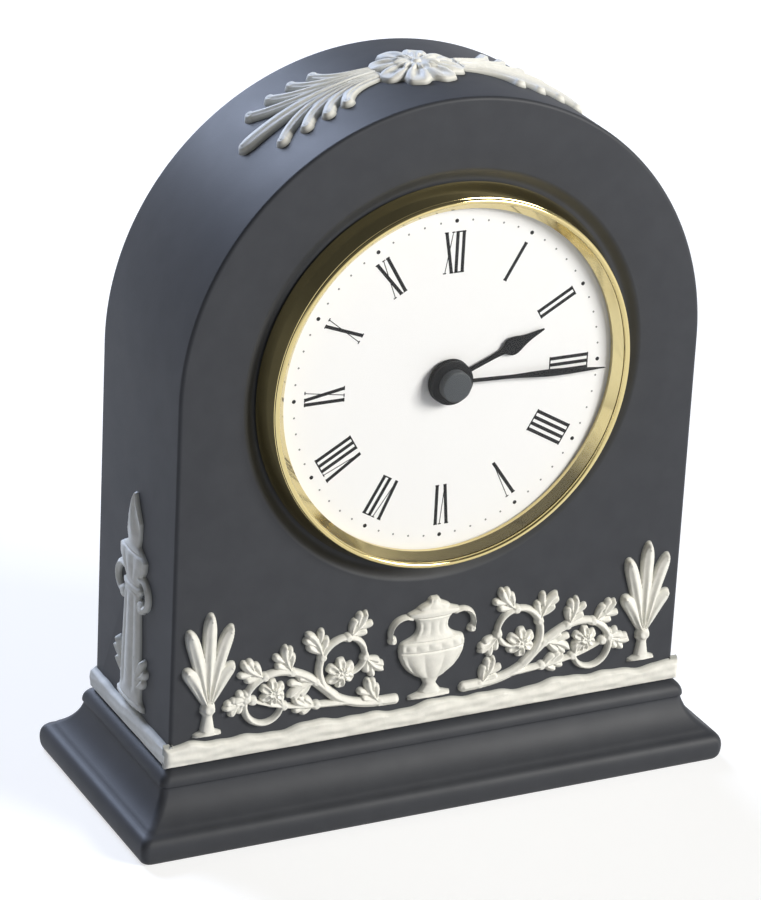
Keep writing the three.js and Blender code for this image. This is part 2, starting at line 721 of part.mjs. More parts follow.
function insertPan() {
  const hole = bushRadius() + GAP;
  const front = DIAL_BACK + GAP;
  const back = front + PAN_FLOOR;
  const flangeFront = BEZEL_SKIRT_DEPTH + GAP;
  const inside = SEAT_RADIUS - PAN_WALL;
  return cut(turnedRing([
    [hole, front], [SEAT_RADIUS, front], [SEAT_RADIUS, flangeFront], [PAN_FLANGE_RADIUS, flangeFront],
    [PAN_FLANGE_RADIUS, flangeFront + 0.9], [inside, flangeFront + 0.9], [inside, back], [hole, back],
  ], ROUND_INSIDE), [movementBox(MOVEMENT_FRONT, MOVEMENT_FRONT + 20, GAP)]);
}

// The movement's box between two depths, grown by a clearance.
function movementBox(front, back, clearance = 0) {
  const half = BOX_HALF_WIDTH + clearance;
  return block(-half, half, front, back, BOX_BOTTOM - clearance, BOX_TOP + clearance);
}

function gasketRing() {
  const inside = BEZEL_SKIRT_RADIUS + GAP;
  const valley = (inside + GASKET_RADIUS) / 2;
  const ribs = 2;
  const front = RIM_BACK + 0.5;
  const pitch = (BEZEL_SKIRT_DEPTH - front) / (ribs * 2 - 1);
  const outside = [];
  for (let i = 0; i < ribs; i += 1) {
    const depth = front + 2 * i * pitch;
    outside.push([GASKET_RADIUS, depth], [GASKET_RADIUS, depth + pitch]);
    if (i + 1 < ribs) outside.push([valley, depth + pitch], [valley, depth + 2 * pitch]);
  }
  return turnedRing([[inside, front], ...outside, [inside, BEZEL_SKIRT_DEPTH]]);
}

// Hands lie along +X here and are turned to the time where they are placed.

// A flat blade from [share of the length, half width] pairs, pointed at its tip.
function handBlade(outline, length, front) {
  const points = outline.map(([share, half]) => [share * length, half]);
  const shape = new THREE.Shape();
  shape.moveTo(...points[0]);
  points.slice(1).forEach(([x, y]) => shape.lineTo(x, y));
  points.reverse().filter(([, y]) => y > 0).forEach(([x, y]) => shape.lineTo(x, -y));
  shape.closePath();
  return plate(shape, front, front + HAND_THICKNESS);
}

function handBoss(radius, front, back, bore) {
  const edge = 0.15;
  return turnedRing([
    [bore, front], [radius - edge, front], [radius, front + edge], [radius, back], [bore, back],
  ], 16);
}

function hourHand() {
  const blade = handBlade([
    [0.14, 0.5], [0.5, 0.55], [0.55, 0.95], [0.6, 1.6], [0.64, 1.85], [0.68, 1.75], [0.74, 1.25],
    [0.8, 0.66], [0.86, 0.42], [0.92, 0.36], [1, 0],
  ], HOUR_HAND_LENGTH, HOUR_HAND_FRONT);
  const back = HOUR_HAND_FRONT + HAND_THICKNESS;
  return cut(blade, [bar(0, 0, HOUR_BOSS_RADIUS - 0.5, HOUR_HAND_FRONT - 1, back + 1)])
    .add(handBoss(HOUR_BOSS_RADIUS, HOUR_HAND_FRONT, back, pipeRadius() + GAP));
}

function minuteHand() {
  const blade = handBlade([
    [0.09, 0.34], [0.42, 0.34], [0.54, 0.58], [0.66, 0.7], [0.78, 0.55], [0.9, 0.3], [1, 0],
  ], MINUTE_HAND_LENGTH, MINUTE_HAND_FRONT);
  const back = MINUTE_HAND_FRONT + HAND_THICKNESS;
  return cut(blade, [bar(0, 0, MINUTE_BOSS_RADIUS - 0.5, MINUTE_HAND_FRONT - 1, back + 1)])
    .add(handBoss(MINUTE_BOSS_RADIUS, MINUTE_BOSS_FRONT, back, MINUTE_ARBOR_RADIUS + GAP));
}

function handCap() {
  const back = MINUTE_BOSS_FRONT - GAP;
  return turned([
    [0, CAP_FRONT], [CAP_RADIUS - 0.4, CAP_FRONT], [CAP_RADIUS, CAP_FRONT + 0.35],
    [CAP_RADIUS, back], [0, back],
  ], 20);
}

// Wheel work

// Front depth of a wheel on a level of the movement; the hour wheel is on level 0.
function levelFront(level) {
  return MOVEMENT_FRONT + MOVEMENT_FLOOR + 0.5 + level * LEVEL_STEP;
}

function levelBack(level) {
  return levelFront(level) + GEAR_THICKNESS;
}

const BRIDGE_FRONT = levelFront(8) + 0.3;
const BRIDGE_BACK = BRIDGE_FRONT + BRIDGE_THICKNESS;
const WALL_BACK = BRIDGE_BACK + 0.5;
const COVER_FRONT = WALL_BACK + GAP;
const COVER_BACK = COVER_FRONT + COVER_THICKNESS;

// Height of a tooth above and below the pitch circle in modules, and half its tip in tooth pitches
const TOOTH_OUT = 0.62;
const TOOTH_IN = 1.1;
const TOOTH_TIP = 0.1;

// Tooth counts and modules of each meshing pair
const MOTION_MODULE = 0.5;
const CANNON_TEETH = 8;
const MINUTE_WHEEL_TEETH = 24;
const MINUTE_PINION_TEETH = 8;
const HOUR_WHEEL_TEETH = 32;
const HOUR_MODULE = MOTION_MODULE
  * ((CANNON_TEETH + MINUTE_WHEEL_TEETH) / (MINUTE_PINION_TEETH + HOUR_WHEEL_TEETH));
const SETTING_TEETH = 8;
const CENTRE_MODULE = 0.375;
const CENTRE_TEETH = 48;
const THIRD_PINION_TEETH = 6;
const THIRD_MODULE = 0.35;
const THIRD_TEETH = 45;
const SECOND_PINION_TEETH = 6;
const SECOND_MODULE = 0.27;
const SECOND_TEETH = 36;
const FIFTH_PINION_TEETH = 6;
const FIFTH_TEETH = 30;
const ROTOR_PINION_TEETH = 6;

// Next arbor of a train: its place, and the direction from the arbor before it.
function nextArbor(from, module, teethFrom, teethTo, degrees) {
  const direction = THREE.MathUtils.degToRad(degrees);
  const distance = (module * (teethFrom + teethTo)) / 2;
  return {
    x: from.x + distance * Math.cos(direction),
    v: from.v + distance * Math.sin(direction),
    direction,
  };
}

const CENTRE = { x: 0, v: 0 };
const MINUTE_WHEEL = nextArbor(CENTRE, MOTION_MODULE, CANNON_TEETH, MINUTE_WHEEL_TEETH, -30);
const SETTING = nextArbor(MINUTE_WHEEL, MOTION_MODULE, MINUTE_WHEEL_TEETH, SETTING_TEETH, 20);
const THIRD = nextArbor(CENTRE, CENTRE_MODULE, CENTRE_TEETH, THIRD_PINION_TEETH, 150);
const SECOND = nextArbor(THIRD, THIRD_MODULE, THIRD_TEETH, SECOND_PINION_TEETH, 60);
const FIFTH = nextArbor(SECOND, SECOND_MODULE, SECOND_TEETH, FIFTH_PINION_TEETH, 0);
const ROTOR = nextArbor(FIFTH, SECOND_MODULE, FIFTH_TEETH, ROTOR_PINION_TEETH, -20);

// Angle of a tooth of the next gear that leaves it in mesh, from a tooth angle of the gear before it.
function meshedTooth(tooth, teethFrom, teethTo, direction) {
  const offset = ((direction - tooth) * teethFrom) / (2 * Math.PI);
  return direction + Math.PI - ((0.5 - offset) * 2 * Math.PI) / teethTo;
}

// Gear with V-shaped gaps and flat-topped teeth, or pointed ones where they are fine.
function gear(arbor, teeth, module, front, tooth, fine = false) {
  const pitch = (2 * Math.PI) / teeth;
  const outer = module * (teeth / 2 + TOOTH_OUT);
  const root = module * (teeth / 2 - TOOTH_IN);
  const shape = new THREE.Shape();
  for (let i = 0; i < teeth; i += 1) {
    const tips = fine ? [[outer, 0]] : [[outer, -TOOTH_TIP], [outer, TOOTH_TIP]];
    const corners = [[root, -0.5], ...tips];
    corners.forEach(([radius, share], k) => {
      const angle = tooth + (i + share) * pitch;
      const x = arbor.x + radius * Math.cos(angle);
      const v = arbor.v + radius * Math.sin(angle);
      if (i === 0 && k === 0) shape.moveTo(x, v);
      else shape.lineTo(x, v);
    });
  }
  shape.closePath();
  return plate(shape, front, front + GEAR_THICKNESS);
}

// Arbor, wheel and pinion of the going train, turning as one.
function wheelAndPinion(arbor, wheel, pinion) {
  const hubBack = Math.max(levelBack(wheel.level), levelBack(pinion.level));
  const hubFront = Math.min(levelFront(wheel.level), levelFront(pinion.level));
  return join([
    gear(arbor, wheel.teeth, wheel.module, levelFront(wheel.level), wheel.tooth, true),
    gear(arbor, pinion.teeth, pinion.module, levelFront(pinion.level), pinion.tooth),
    bar(arbor.x, arbor.v, pinion.module * pinion.teeth * 0.36, hubFront, hubBack, 8),
    bar(arbor.x, arbor.v, ARBOR_RADIUS, MOVEMENT_FRONT + 0.4, BRIDGE_BACK - 0.2, 8),
  ]);
}

const CANNON_TOOTH = 0;
const MINUTE_WHEEL_TOOTH = meshedTooth(
  CANNON_TOOTH, CANNON_TEETH, MINUTE_WHEEL_TEETH, MINUTE_WHEEL.direction);
const MINUTE_PINION_TOOTH = 0;
const HOUR_WHEEL_TOOTH = meshedTooth(
  MINUTE_PINION_TOOTH, MINUTE_PINION_TEETH, HOUR_WHEEL_TEETH, MINUTE_WHEEL.direction + Math.PI);
const SETTING_TOOTH = meshedTooth(MINUTE_WHEEL_TOOTH, MINUTE_WHEEL_TEETH, SETTING_TEETH, SETTING.direction);
const CENTRE_TOOTH = 0;
const THIRD_PINION_TOOTH = meshedTooth(CENTRE_TOOTH, CENTRE_TEETH, THIRD_PINION_TEETH, THIRD.direction);
const THIRD_TOOTH = 0;
const SECOND_PINION_TOOTH = meshedTooth(THIRD_TOOTH, THIRD_TEETH, SECOND_PINION_TEETH, SECOND.direction);
const SECOND_TOOTH = 0;
const FIFTH_PINION_TOOTH = meshedTooth(SECOND_TOOTH, SECOND_TEETH, FIFTH_PINION_TEETH, FIFTH.direction);
const FIFTH_TOOTH = 0;
const ROTOR_TOOTH = meshedTooth(FIFTH_TOOTH, FIFTH_TEETH, ROTOR_PINION_TEETH, ROTOR.direction);

function hourWheel() {
  const bore = MINUTE_ARBOR_RADIUS + GAP;
  const pipe = turnedRing([
    [bore, HOUR_HAND_FRONT], [pipeRadius(), HOUR_HAND_FRONT],
    [pipeRadius(), levelBack(0)], [bore, levelBack(0)],
  ], 16);
  return gear(CENTRE, HOUR_WHEEL_TEETH, HOUR_MODULE, levelFront(0), HOUR_WHEEL_TOOTH, true)
    .subtract(bar(0, 0, bore + PIPE_WALL / 2, levelFront(0) - 1, levelBack(0) + 1))
    .add(pipe);
}

function minuteArbor() {
  const shoulder = levelBack(1);
  return gear(CENTRE, CANNON_TEETH, MOTION_MODULE, levelFront(1), CANNON_TOOTH).add(turned([
    [0, MINUTE_BOSS_FRONT], [MINUTE_ARBOR_RADIUS, MINUTE_BOSS_FRONT], [MINUTE_ARBOR_RADIUS, shoulder],
    [ARBOR_RADIUS, shoulder], [ARBOR_RADIUS, BRIDGE_BACK - 0.2], [0, BRIDGE_BACK - 0.2],
  ], 12));
}

// The minute wheel turns on a stud of the front plate.
function minuteWheel() {
  const { x, v } = MINUTE_WHEEL;
  const bore = STUD_RADIUS + PIVOT_CLEARANCE;
  return gear(MINUTE_WHEEL, MINUTE_WHEEL_TEETH, MOTION_MODULE, levelFront(1), MINUTE_WHEEL_TOOTH, true)
    .add(gear(MINUTE_WHEEL, MINUTE_PINION_TEETH, HOUR_MODULE, levelFront(0), MINUTE_PINION_TOOTH))
    .add(bar(x, v, bore + 0.3, levelFront(0), levelBack(1), 12))
    .subtract(bar(x, v, bore, levelFront(0) - 1, levelBack(1) + 1, 12));
}

function centreWheel() {
  const bore = ARBOR_RADIUS + GAP;
  return gear(CENTRE, CENTRE_TEETH, CENTRE_MODULE, levelFront(2), CENTRE_TOOTH, true)
    .add(bar(0, 0, 1.6, levelFront(2), levelBack(2) + 0.5, 12))
    .subtract(bar(0, 0, bore, levelFront(2) - 1, levelBack(2) + 1.5, 12));
}

function thirdWheel() {
  return wheelAndPinion(
    THIRD,
    { teeth: THIRD_TEETH, module: THIRD_MODULE, level: 3, tooth: THIRD_TOOTH },
    { teeth: THIRD_PINION_TEETH, module: CENTRE_MODULE, level: 2, tooth: THIRD_PINION_TOOTH },
  );
}

function secondWheel() {
  return wheelAndPinion(
    SECOND,
    { teeth: SECOND_TEETH, module: SECOND_MODULE, level: 4, tooth: SECOND_TOOTH },
    { teeth: SECOND_PINION_TEETH, module: THIRD_MODULE, level: 3, tooth: SECOND_PINION_TOOTH },
  );
}

function fifthWheel() {
  return wheelAndPinion(
    FIFTH,
    { teeth: FIFTH_TEETH, module: SECOND_MODULE, level: 5, tooth: FIFTH_TOOTH },
    { teeth: FIFTH_PINION_TEETH, module: SECOND_MODULE, level: 4, tooth: FIFTH_PINION_TOOTH },
  );
}

const MAGNET_RADIUS = 3;
const STATOR_FRONT = levelFront(6) + 0.2;
const STATOR_BACK = STATOR_FRONT + 1.2;

function rotor() {
  return join([
    gear(ROTOR, ROTOR_PINION_TEETH, SECOND_MODULE, levelFront(5), ROTOR_TOOTH),
    bar(ROTOR.x, ROTOR.v, MAGNET_RADIUS, STATOR_FRONT - 0.2, STATOR_BACK + 0.2, 20),
    bar(ROTOR.x, ROTOR.v, ARBOR_RADIUS, MOVEMENT_FRONT + 0.4, BRIDGE_BACK - 0.2, 10),
  ]);
}

const STATOR_HALF_LENGTH = 13;
const STATOR_LEG = 3.5;
const STATOR_LOW = 5.9;
const STATOR_HIGH = 16;
const COIL_CORE_HALF = 1;

// Stator lamination: a plate round the rotor and two legs up to the core that carries the coil.
function statorPlate() {
  const holes = [THIRD, SECOND, FIFTH].map((arbor) => (
    bar(arbor.x, arbor.v, 1.3, STATOR_FRONT - 1, STATOR_BACK + 1, 12)));
  const legs = [-1, 1].map((side) => {
    const inner = side * (STATOR_HALF_LENGTH - STATOR_LEG);
    const outer = side * STATOR_HALF_LENGTH;
    return block(
      Math.min(inner, outer), Math.max(inner, outer), STATOR_FRONT, STATOR_BACK,
      STATOR_HIGH - 1, COIL_V + COIL_CORE_HALF,
    );
  });
  return join([
    block(-STATOR_HALF_LENGTH, STATOR_HALF_LENGTH, STATOR_FRONT, STATOR_BACK, STATOR_LOW, STATOR_HIGH),
    block(
      -STATOR_HALF_LENGTH, STATOR_HALF_LENGTH, STATOR_FRONT, STATOR_BACK,
      COIL_V - COIL_CORE_HALF, COIL_V + COIL_CORE_HALF,
    ),
    ...legs,
  ]).subtract(join([
    bar(ROTOR.x, ROTOR.v, MAGNET_RADIUS + 0.6, STATOR_FRONT - 1, STATOR_BACK + 1, 20),
    ...holes,
  ]));
}

// Round bobbin of wire on the core, with a square way through it for the core.
function coilBobbin() {
  const half = STATOR_HALF_LENGTH - STATOR_LEG - GAP;
  const centre = (STATOR_FRONT + STATOR_BACK) / 2;
  const [flange, wire] = [COIL_RADIUS, COIL_RADIUS - 0.5];
  const profile = [[0, -half], [flange, -half], [flange, -half + 0.8], [wire, -half + 0.8],
    [wire, half - 0.8], [flange, half - 0.8], [flange, half], [0, half]];
  const spool = new THREE.LatheGeometry(profile.map(([r, y]) => new THREE.Vector2(r, y)), 16);
  spool.rotateZ(Math.PI / 2);
  spool.translate(0, centre, COIL_V);
  const wayHalf = COIL_CORE_HALF + GAP;
  const way = block(
    -half - 1, half + 1, STATOR_FRONT - GAP, STATOR_BACK + GAP, COIL_V - wayHalf, COIL_V + wayHalf);
  return solidOf(spool).subtract(way);
}

const BRIDGE_LEFT = -20.5;
const BRIDGE_RIGHT = 15.2;
const BRIDGE_LOW = -7.5;
const BRIDGE_HIGH = 16.8;
const BRIDGE_POSTS = [
  [BRIDGE_LEFT + POST_RADIUS + 1, BRIDGE_HIGH - POST_RADIUS - 0.3],
  [BRIDGE_LEFT + POST_RADIUS + 1, BRIDGE_LOW + POST_RADIUS + 1],
  [BRIDGE_RIGHT - POST_RADIUS - 1.1, 3.6],
];

function trainBridge() {
  const front = MOVEMENT_FRONT + MOVEMENT_FLOOR + GAP;
  const arbors = [CENTRE, THIRD, SECOND, FIFTH, ROTOR];
  const holes = arbors.map((arbor) => (
    bar(arbor.x, arbor.v, ARBOR_RADIUS + PIVOT_CLEARANCE, BRIDGE_FRONT - 1, BRIDGE_BACK + 1, 10)));
  const knobWay = bar(SETTING.x, SETTING.v, KNOB_SHAFT_RADIUS + 0.6, BRIDGE_FRONT - 1, BRIDGE_BACK + 1, 14);
  const posts = BRIDGE_POSTS.map(([x, v]) => bar(x, v, POST_RADIUS, front, BRIDGE_FRONT + 0.5, 12));
  const strip = block(BRIDGE_LEFT, BRIDGE_RIGHT, BRIDGE_FRONT, BRIDGE_BACK, BRIDGE_LOW, BRIDGE_HIGH);
  return cut(join([strip, ...posts]), [...holes, knobWay]);
}

const CELL_DEPTH = MOVEMENT_FRONT + MOVEMENT_FLOOR + GAP + CELL_RADIUS;

// Dial-side half of the movement box, with its walls, the cell bay, the bush and the minute wheel's stud.
function frontPlate() {
  const floorBack = MOVEMENT_FRONT + MOVEMENT_FLOOR;
  const box = movementBox(MOVEMENT_FRONT, WALL_BACK);
  const partition = CELL_V + CELL_RADIUS + CELL_ROOM;
  const half = ROOM_HALF_WIDTH;
  const works = block(-half, half, floorBack, WALL_BACK + 1, partition + 1, ROOM_TOP);
  const bay = block(-half, half, floorBack, WALL_BACK + 1, ROOM_BOTTOM, partition);
  const bore = pipeRadius() + GAP;
  const bush = bar(0, 0, bushRadius(), HOUR_HAND_FRONT + HAND_THICKNESS + 0.35, MOVEMENT_FRONT + 0.5);
  const { x, v } = MINUTE_WHEEL;
  const stud = bar(x, v, STUD_RADIUS, floorBack - 0.5, levelBack(1), 10);
  const pivots = [THIRD, SECOND, FIFTH, ROTOR, SETTING].map((arbor) => (
    bar(arbor.x, arbor.v, ARBOR_RADIUS + PIVOT_CLEARANCE, MOVEMENT_FRONT - 1, floorBack + 1, 10)));
  return cut(
    cut(box, [works, bay]).add(bush).add(stud),
    [bar(0, 0, bore, HOUR_HAND_FRONT - 2, floorBack + 1), ...pivots],
  );
}

// Rear lid, open over the cell.
function backCover() {
  const lid = movementBox(COVER_FRONT, COVER_BACK);
  const bay = block(
    -CELL_LENGTH / 2 - 1, CELL_LENGTH / 2 + 1, COVER_FRONT - 1, COVER_BACK + 1,
    CELL_V - CELL_RADIUS - CELL_ROOM + 0.2, CELL_V + CELL_RADIUS + CELL_ROOM - 0.2,
  );
  const knobWay = bar(SETTING.x, SETTING.v, KNOB_SHAFT_RADIUS + 0.4, COVER_FRONT - 1, COVER_BACK + 1, 14);
  return cut(lid, [bay, knobWay]);
}

// Thumb knob, its shaft and the setting pinion.
function settingKnob() {
  const front = COVER_BACK + GAP;
  const flutes = 12;
  const shape = new THREE.Shape();
  for (let i = 0; i < flutes * 2; i += 1) {
    const angle = (Math.PI * (i + 0.5)) / flutes;
    const radius = i % 2 === 0 ? KNOB_RADIUS : KNOB_RADIUS - 0.6;
    const x = SETTING.x + radius * Math.cos(angle);
    const v = SETTING.v + radius * Math.sin(angle);
    if (i === 0) shape.moveTo(x, v);
    else shape.lineTo(x, v);
  }
  shape.closePath();
  return join([
    plate(shape, front, front + KNOB_HEIGHT),
    bar(SETTING.x, SETTING.v, KNOB_SHAFT_RADIUS, levelBack(1) - 0.2, front + 1, 12),
    gear(SETTING, SETTING_TEETH, MOTION_MODULE, levelFront(1), SETTING_TOOTH),
    bar(SETTING.x, SETTING.v, ARBOR_RADIUS, MOVEMENT_FRONT + 0.4, levelFront(1) + 0.2, 10),
  ]);
}

const BOARD_LEFT = 16.4;
const BOARD_THICKNESS = 0.8;

function circuitBoard() {
  return block(
    BOARD_LEFT, ROOM_HALF_WIDTH - GAP, BRIDGE_BACK - BOARD_THICKNESS, BRIDGE_BACK, -11, 16);
}

// Metal can of the timing crystal, lying along the board.
function quartzCan() {
  const radius = 1.5;
  const geometry = new THREE.CylinderGeometry(radius, radius, 8, 16);
  geometry.rotateX(Math.PI / 2);
  const x = (BOARD_LEFT + ROOM_HALF_WIDTH) / 2;
  geometry.translate(x, BRIDGE_BACK - BOARD_THICKNESS - GAP - radius, 6);
  return solidOf(geometry);
}

// Contact leaf against one end wall of the bay, pressed out to meet the cell.
function contact(side) {
  const leaf = 0.4;
  const wall = side * (ROOM_HALF_WIDTH - GAP);
  const inner = wall - side * leaf;
  const tip = side * (CELL_LENGTH / 2 + GAP);
  const press = new THREE.CylinderGeometry(1.4, 2.4, Math.abs(inner - tip) + 0.1, 16);
  press.rotateZ(side * Math.PI / 2);
  press.translate((inner + tip) / 2 + side * 0.05, CELL_DEPTH, CELL_V);
  const height = CELL_RADIUS - 0.6;
  return block(
    Math.min(wall, inner), Math.max(wall, inner),
    CELL_DEPTH - height, CELL_DEPTH + height, CELL_V - height, CELL_V + height,
  ).add(solidOf(press));
}

function batteryCell() {
  const nub = 1;
  const end = CELL_LENGTH / 2;
  const profile = [
    [0, -end], [CELL_RADIUS - 0.4, -end], [CELL_RADIUS, -end + 0.4], [CELL_RADIUS, end - nub - 0.4],
    [CELL_RADIUS - 0.4, end - nub], [1.9, end - nub], [1.9, end], [0, end],
  ];
  const geometry = new THREE.LatheGeometry(profile.map(([r, y]) => new THREE.Vector2(r, y)), 18);
  geometry.rotateZ(-Math.PI / 2);
  geometry.translate(0, CELL_DEPTH, CELL_V);
  return solidOf(geometry);
}

// Assembly

function piece(name, solid, finish) {
  const mesh = new THREE.Mesh(geometryOf(solid), new THREE.MeshStandardMaterial(FINISHES[finish]));
  mesh.name = name;
  return mesh;
}

// Turns a hand from +X to its place on the dial, in degrees clockwise from twelve.
function atTime(mesh, clockwise) {
  mesh.rotation.y = THREE.MathUtils.degToRad(clockwise - 90);
  return mesh;
}

function caseGroup() {
  const group = new THREE.Group();
  const frontHalf = CASE_WIDTH / 2 + BAND_THICKNESS + RELIEF_GAP;
  group.add(
    piece('case_body', caseBody(), 'stoneware'),
    piece('ground_band_front', groundBand(frontHalf, frontWall, 24), 'relief'),
    piece('ground_band_left', groundBand(CASE_DEPTH / 2, leftWall, 8), 'relief'),
    piece('ground_band_right', groundBand(CASE_DEPTH / 2, rightWall, 8), 'relief'),
    piece('frieze_urn', friezeUrn(), 'relief'),
    piece('frieze_scroll_left', friezeScroll(-1), 'relief'),
    piece('frieze_scroll_right', friezeScroll(1), 'relief'),
    piece('frieze_palmette_left', friezePalmette(-1), 'relief'),
    piece('frieze_palmette_right', friezePalmette(1), 'relief'),
    piece('side_ornament_left', sideOrnament(leftWall), 'relief'),
    piece('side_ornament_right', sideOrnament(rightWall), 'relief'),
    piece('top_rosette', crownRosette(), 'relief'),
    piece('top_leaf_left', crownLeaf(-1), 'relief'),
    piece('top_leaf_right', crownLeaf(1), 'relief'),
  );
  return group;
}

function insertGroup() {
  const group = new THREE.Group();
  group.position.set(0, -CASE_DEPTH / 2, DIAL_Z);
  const minuteAngle = MINUTES_PAST_TWO * 6;
  const hourAngle = 60 + MINUTES_PAST_TWO / 2;
  group.add(
    piece('bezel_ring', bezelRing(), 'brass'),
    piece('crystal', crystal(), 'glass'),
    piece('reflector_ring', reflectorRing(), 'brass'),
    piece('dial_plate', dialPlate(), 'dial'),
    piece('insert_pan', insertPan(), 'housing'),
    piece('gasket_ring', gasketRing(), 'rubber'),
    atTime(piece('hour_hand', hourHand(), 'hands'), hourAngle),
    atTime(piece('minute_hand', minuteHand(), 'hands'), minuteAngle),
    piece('hand_cap', handCap(), 'hands'),
    piece('hour_wheel', hourWheel(), 'gears'),
    piece('minute_arbor', minuteArbor(), 'gears'),
    piece('minute_wheel', minuteWheel(), 'gears'),
    piece('centre_wheel', centreWheel(), 'gears'),
    piece('third_wheel', thirdWheel(), 'gears'),
    piece('second_wheel', secondWheel(), 'gears'),
    piece('fifth_wheel', fifthWheel(), 'gears'),
    piece('rotor', rotor(), 'steel'),
    piece('stator_plate', statorPlate(), 'steel'),
    piece('coil_bobbin', coilBobbin(), 'copper'),
    piece('train_bridge', trainBridge(), 'housing'),
    piece('front_plate', frontPlate(), 'housing'),
    piece('back_cover', backCover(), 'housing'),
    piece('setting_knob', settingKnob(), 'housing'),
    piece('circuit_board', circuitBoard(), 'board'),
    piece('quartz_can', quartzCan(), 'steel'),
    piece('contact_plus', contact(1), 'brass'),
    piece('contact_minus', contact(-1), 'brass'),
    piece('battery_cell', batteryCell(), 'cell'),
  );
  return group;
}

const clock = new THREE.Group();
clock.add(caseGroup(), insertGroup());

export default clock;
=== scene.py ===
"""A dome clock in moulded black stoneware with white relief, dressed for a studio picture."""
import logging
import math
from dataclasses import dataclass
from enum import Enum
from itertools import groupby
from typing import Callable, Iterable, Optional, Sequence

import bmesh
import bpy
import numpy as np
from bpy.types import Material, Mesh, Node, NodeSocket, NodeTree, Object, World
from mathutils import Matrix, Vector


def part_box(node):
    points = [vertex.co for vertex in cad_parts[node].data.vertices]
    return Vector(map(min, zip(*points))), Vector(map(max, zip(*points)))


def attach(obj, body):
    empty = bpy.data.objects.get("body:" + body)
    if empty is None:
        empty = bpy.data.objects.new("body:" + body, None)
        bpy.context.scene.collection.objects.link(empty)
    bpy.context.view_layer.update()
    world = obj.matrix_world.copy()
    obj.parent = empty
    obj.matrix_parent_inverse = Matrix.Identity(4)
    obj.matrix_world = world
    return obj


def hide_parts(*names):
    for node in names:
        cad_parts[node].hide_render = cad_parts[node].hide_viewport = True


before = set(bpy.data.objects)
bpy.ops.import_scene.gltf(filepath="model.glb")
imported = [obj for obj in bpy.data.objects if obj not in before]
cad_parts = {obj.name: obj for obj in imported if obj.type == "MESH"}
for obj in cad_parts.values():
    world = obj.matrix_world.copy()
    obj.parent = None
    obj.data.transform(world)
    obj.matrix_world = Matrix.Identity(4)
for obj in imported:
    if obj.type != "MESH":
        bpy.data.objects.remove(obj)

LOG = logging.getLogger("dome_clock")

MM = 0.001
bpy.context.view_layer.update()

# A cutter reaches this far past what it cuts, in millimetres.
PAST = 1.0

Pair = tuple[float, float]
Point = tuple[float, float, float]
Profile = Sequence[Pair]
Colour = tuple[float, float, float, float]


class Slot(Enum):
    """Material slots of the record that pieces are made for."""

    STONEWARE = "stoneware"
    RELIEF = "relief"
    BRASS = "polished_brass"
    CRYSTAL = "crystal_glass"
    DIAL = "dial_paint"
    HANDS = "hand_enamel"
    RUBBER = "black_rubber"
    PLASTIC = "black_plastic"
    CELL = "cell_wrap"


# Sizes read from the frame, in millimetres


def span(node: str, axis: int) -> float:
    """Size of a CAD node along one axis, in millimetres."""
    low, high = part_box(node)
    return (high[axis] - low[axis]) / MM


@dataclass(frozen=True)
class ClockSizes:
    """The driving sizes of the clock, worked out from the frame's boxes."""

    plinth_reach: float = 8.7
    bore_clearance: float = 0.3
    half_width: float = 0.0
    half_depth: float = 0.0
    top: float = 0.0
    dial_height: float = 0.0
    bezel_radius: float = 0.0
    gasket_radius: float = 0.0

    @classmethod
    def from_frame(cls) -> "ClockSizes":
        """Reads the boxes of the case, the bezel and the gasket.

        Returns:
            The sizes that every other piece is built on.
        """
        low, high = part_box("case_body")
        bezel_low, bezel_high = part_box("bezel_ring")
        return cls(
            half_width=high.x / MM - cls.plinth_reach,
            half_depth=high.y / MM - cls.plinth_reach,
            top=high.z / MM,
            dial_height=(bezel_low.z + bezel_high.z) / 2 / MM,
            bezel_radius=span("bezel_ring", 2) / 2,
            gasket_radius=span("gasket_ring", 2) / 2,
        )

    @property
    def arch_centre(self) -> float:
        """Height of the arch's centre."""
        return self.top - self.half_width

    @property
    def bore_radius(self) -> float:
        """Radius of the round bore in the front wall."""
        return self.gasket_radius + self.bore_clearance


SIZES = ClockSizes.from_frame()


# Nodes and finishes


def linear(code: str) -> Colour:
    """Turns a hex sRGB colour into the linear values Blender wants.

    Args:
        code: Six hex digits after a hash.

    Returns:
        Red, green, blue and an alpha of 1.
    """
    parts = [int(code[i:i + 2], 16) / 255 for i in (1, 3, 5)]
    curve = [c / 12.92 if c <= 0.04045 else ((c + 0.055) / 1.055) ** 2.4 for c in parts]
    return (curve[0], curve[1], curve[2], 1.0)


def empty_tree(owner: Material | World) -> NodeTree:
    """Gives a material or a world a node tree with nothing in it.

    Args:
        owner: What the tree belongs to.

    Returns:
        The tree.
    """
    owner.use_nodes = True
    owner.node_tree.nodes.clear()
    return owner.node_tree


def add_node(tree: NodeTree, kind: str, inputs: Optional[dict] = None, **settings) -> Node:
    """Adds a node, sets its properties, and sets or links its inputs.

    Args:
        tree: The tree it joins.
        kind: The node's type name.
        inputs: Input name or number to a value, or to an output socket that is linked to it.
        settings: Properties of the node.

    Returns:
        The new node.
    """
    node = tree.nodes.new(kind)
    for key, value in settings.items():
        setattr(node, key, value)
    for key, value in (inputs or {}).items():
        if isinstance(value, NodeSocket):
            tree.links.new(value, node.inputs[key])
        else:
            node.inputs[key].default_value = value
    return node


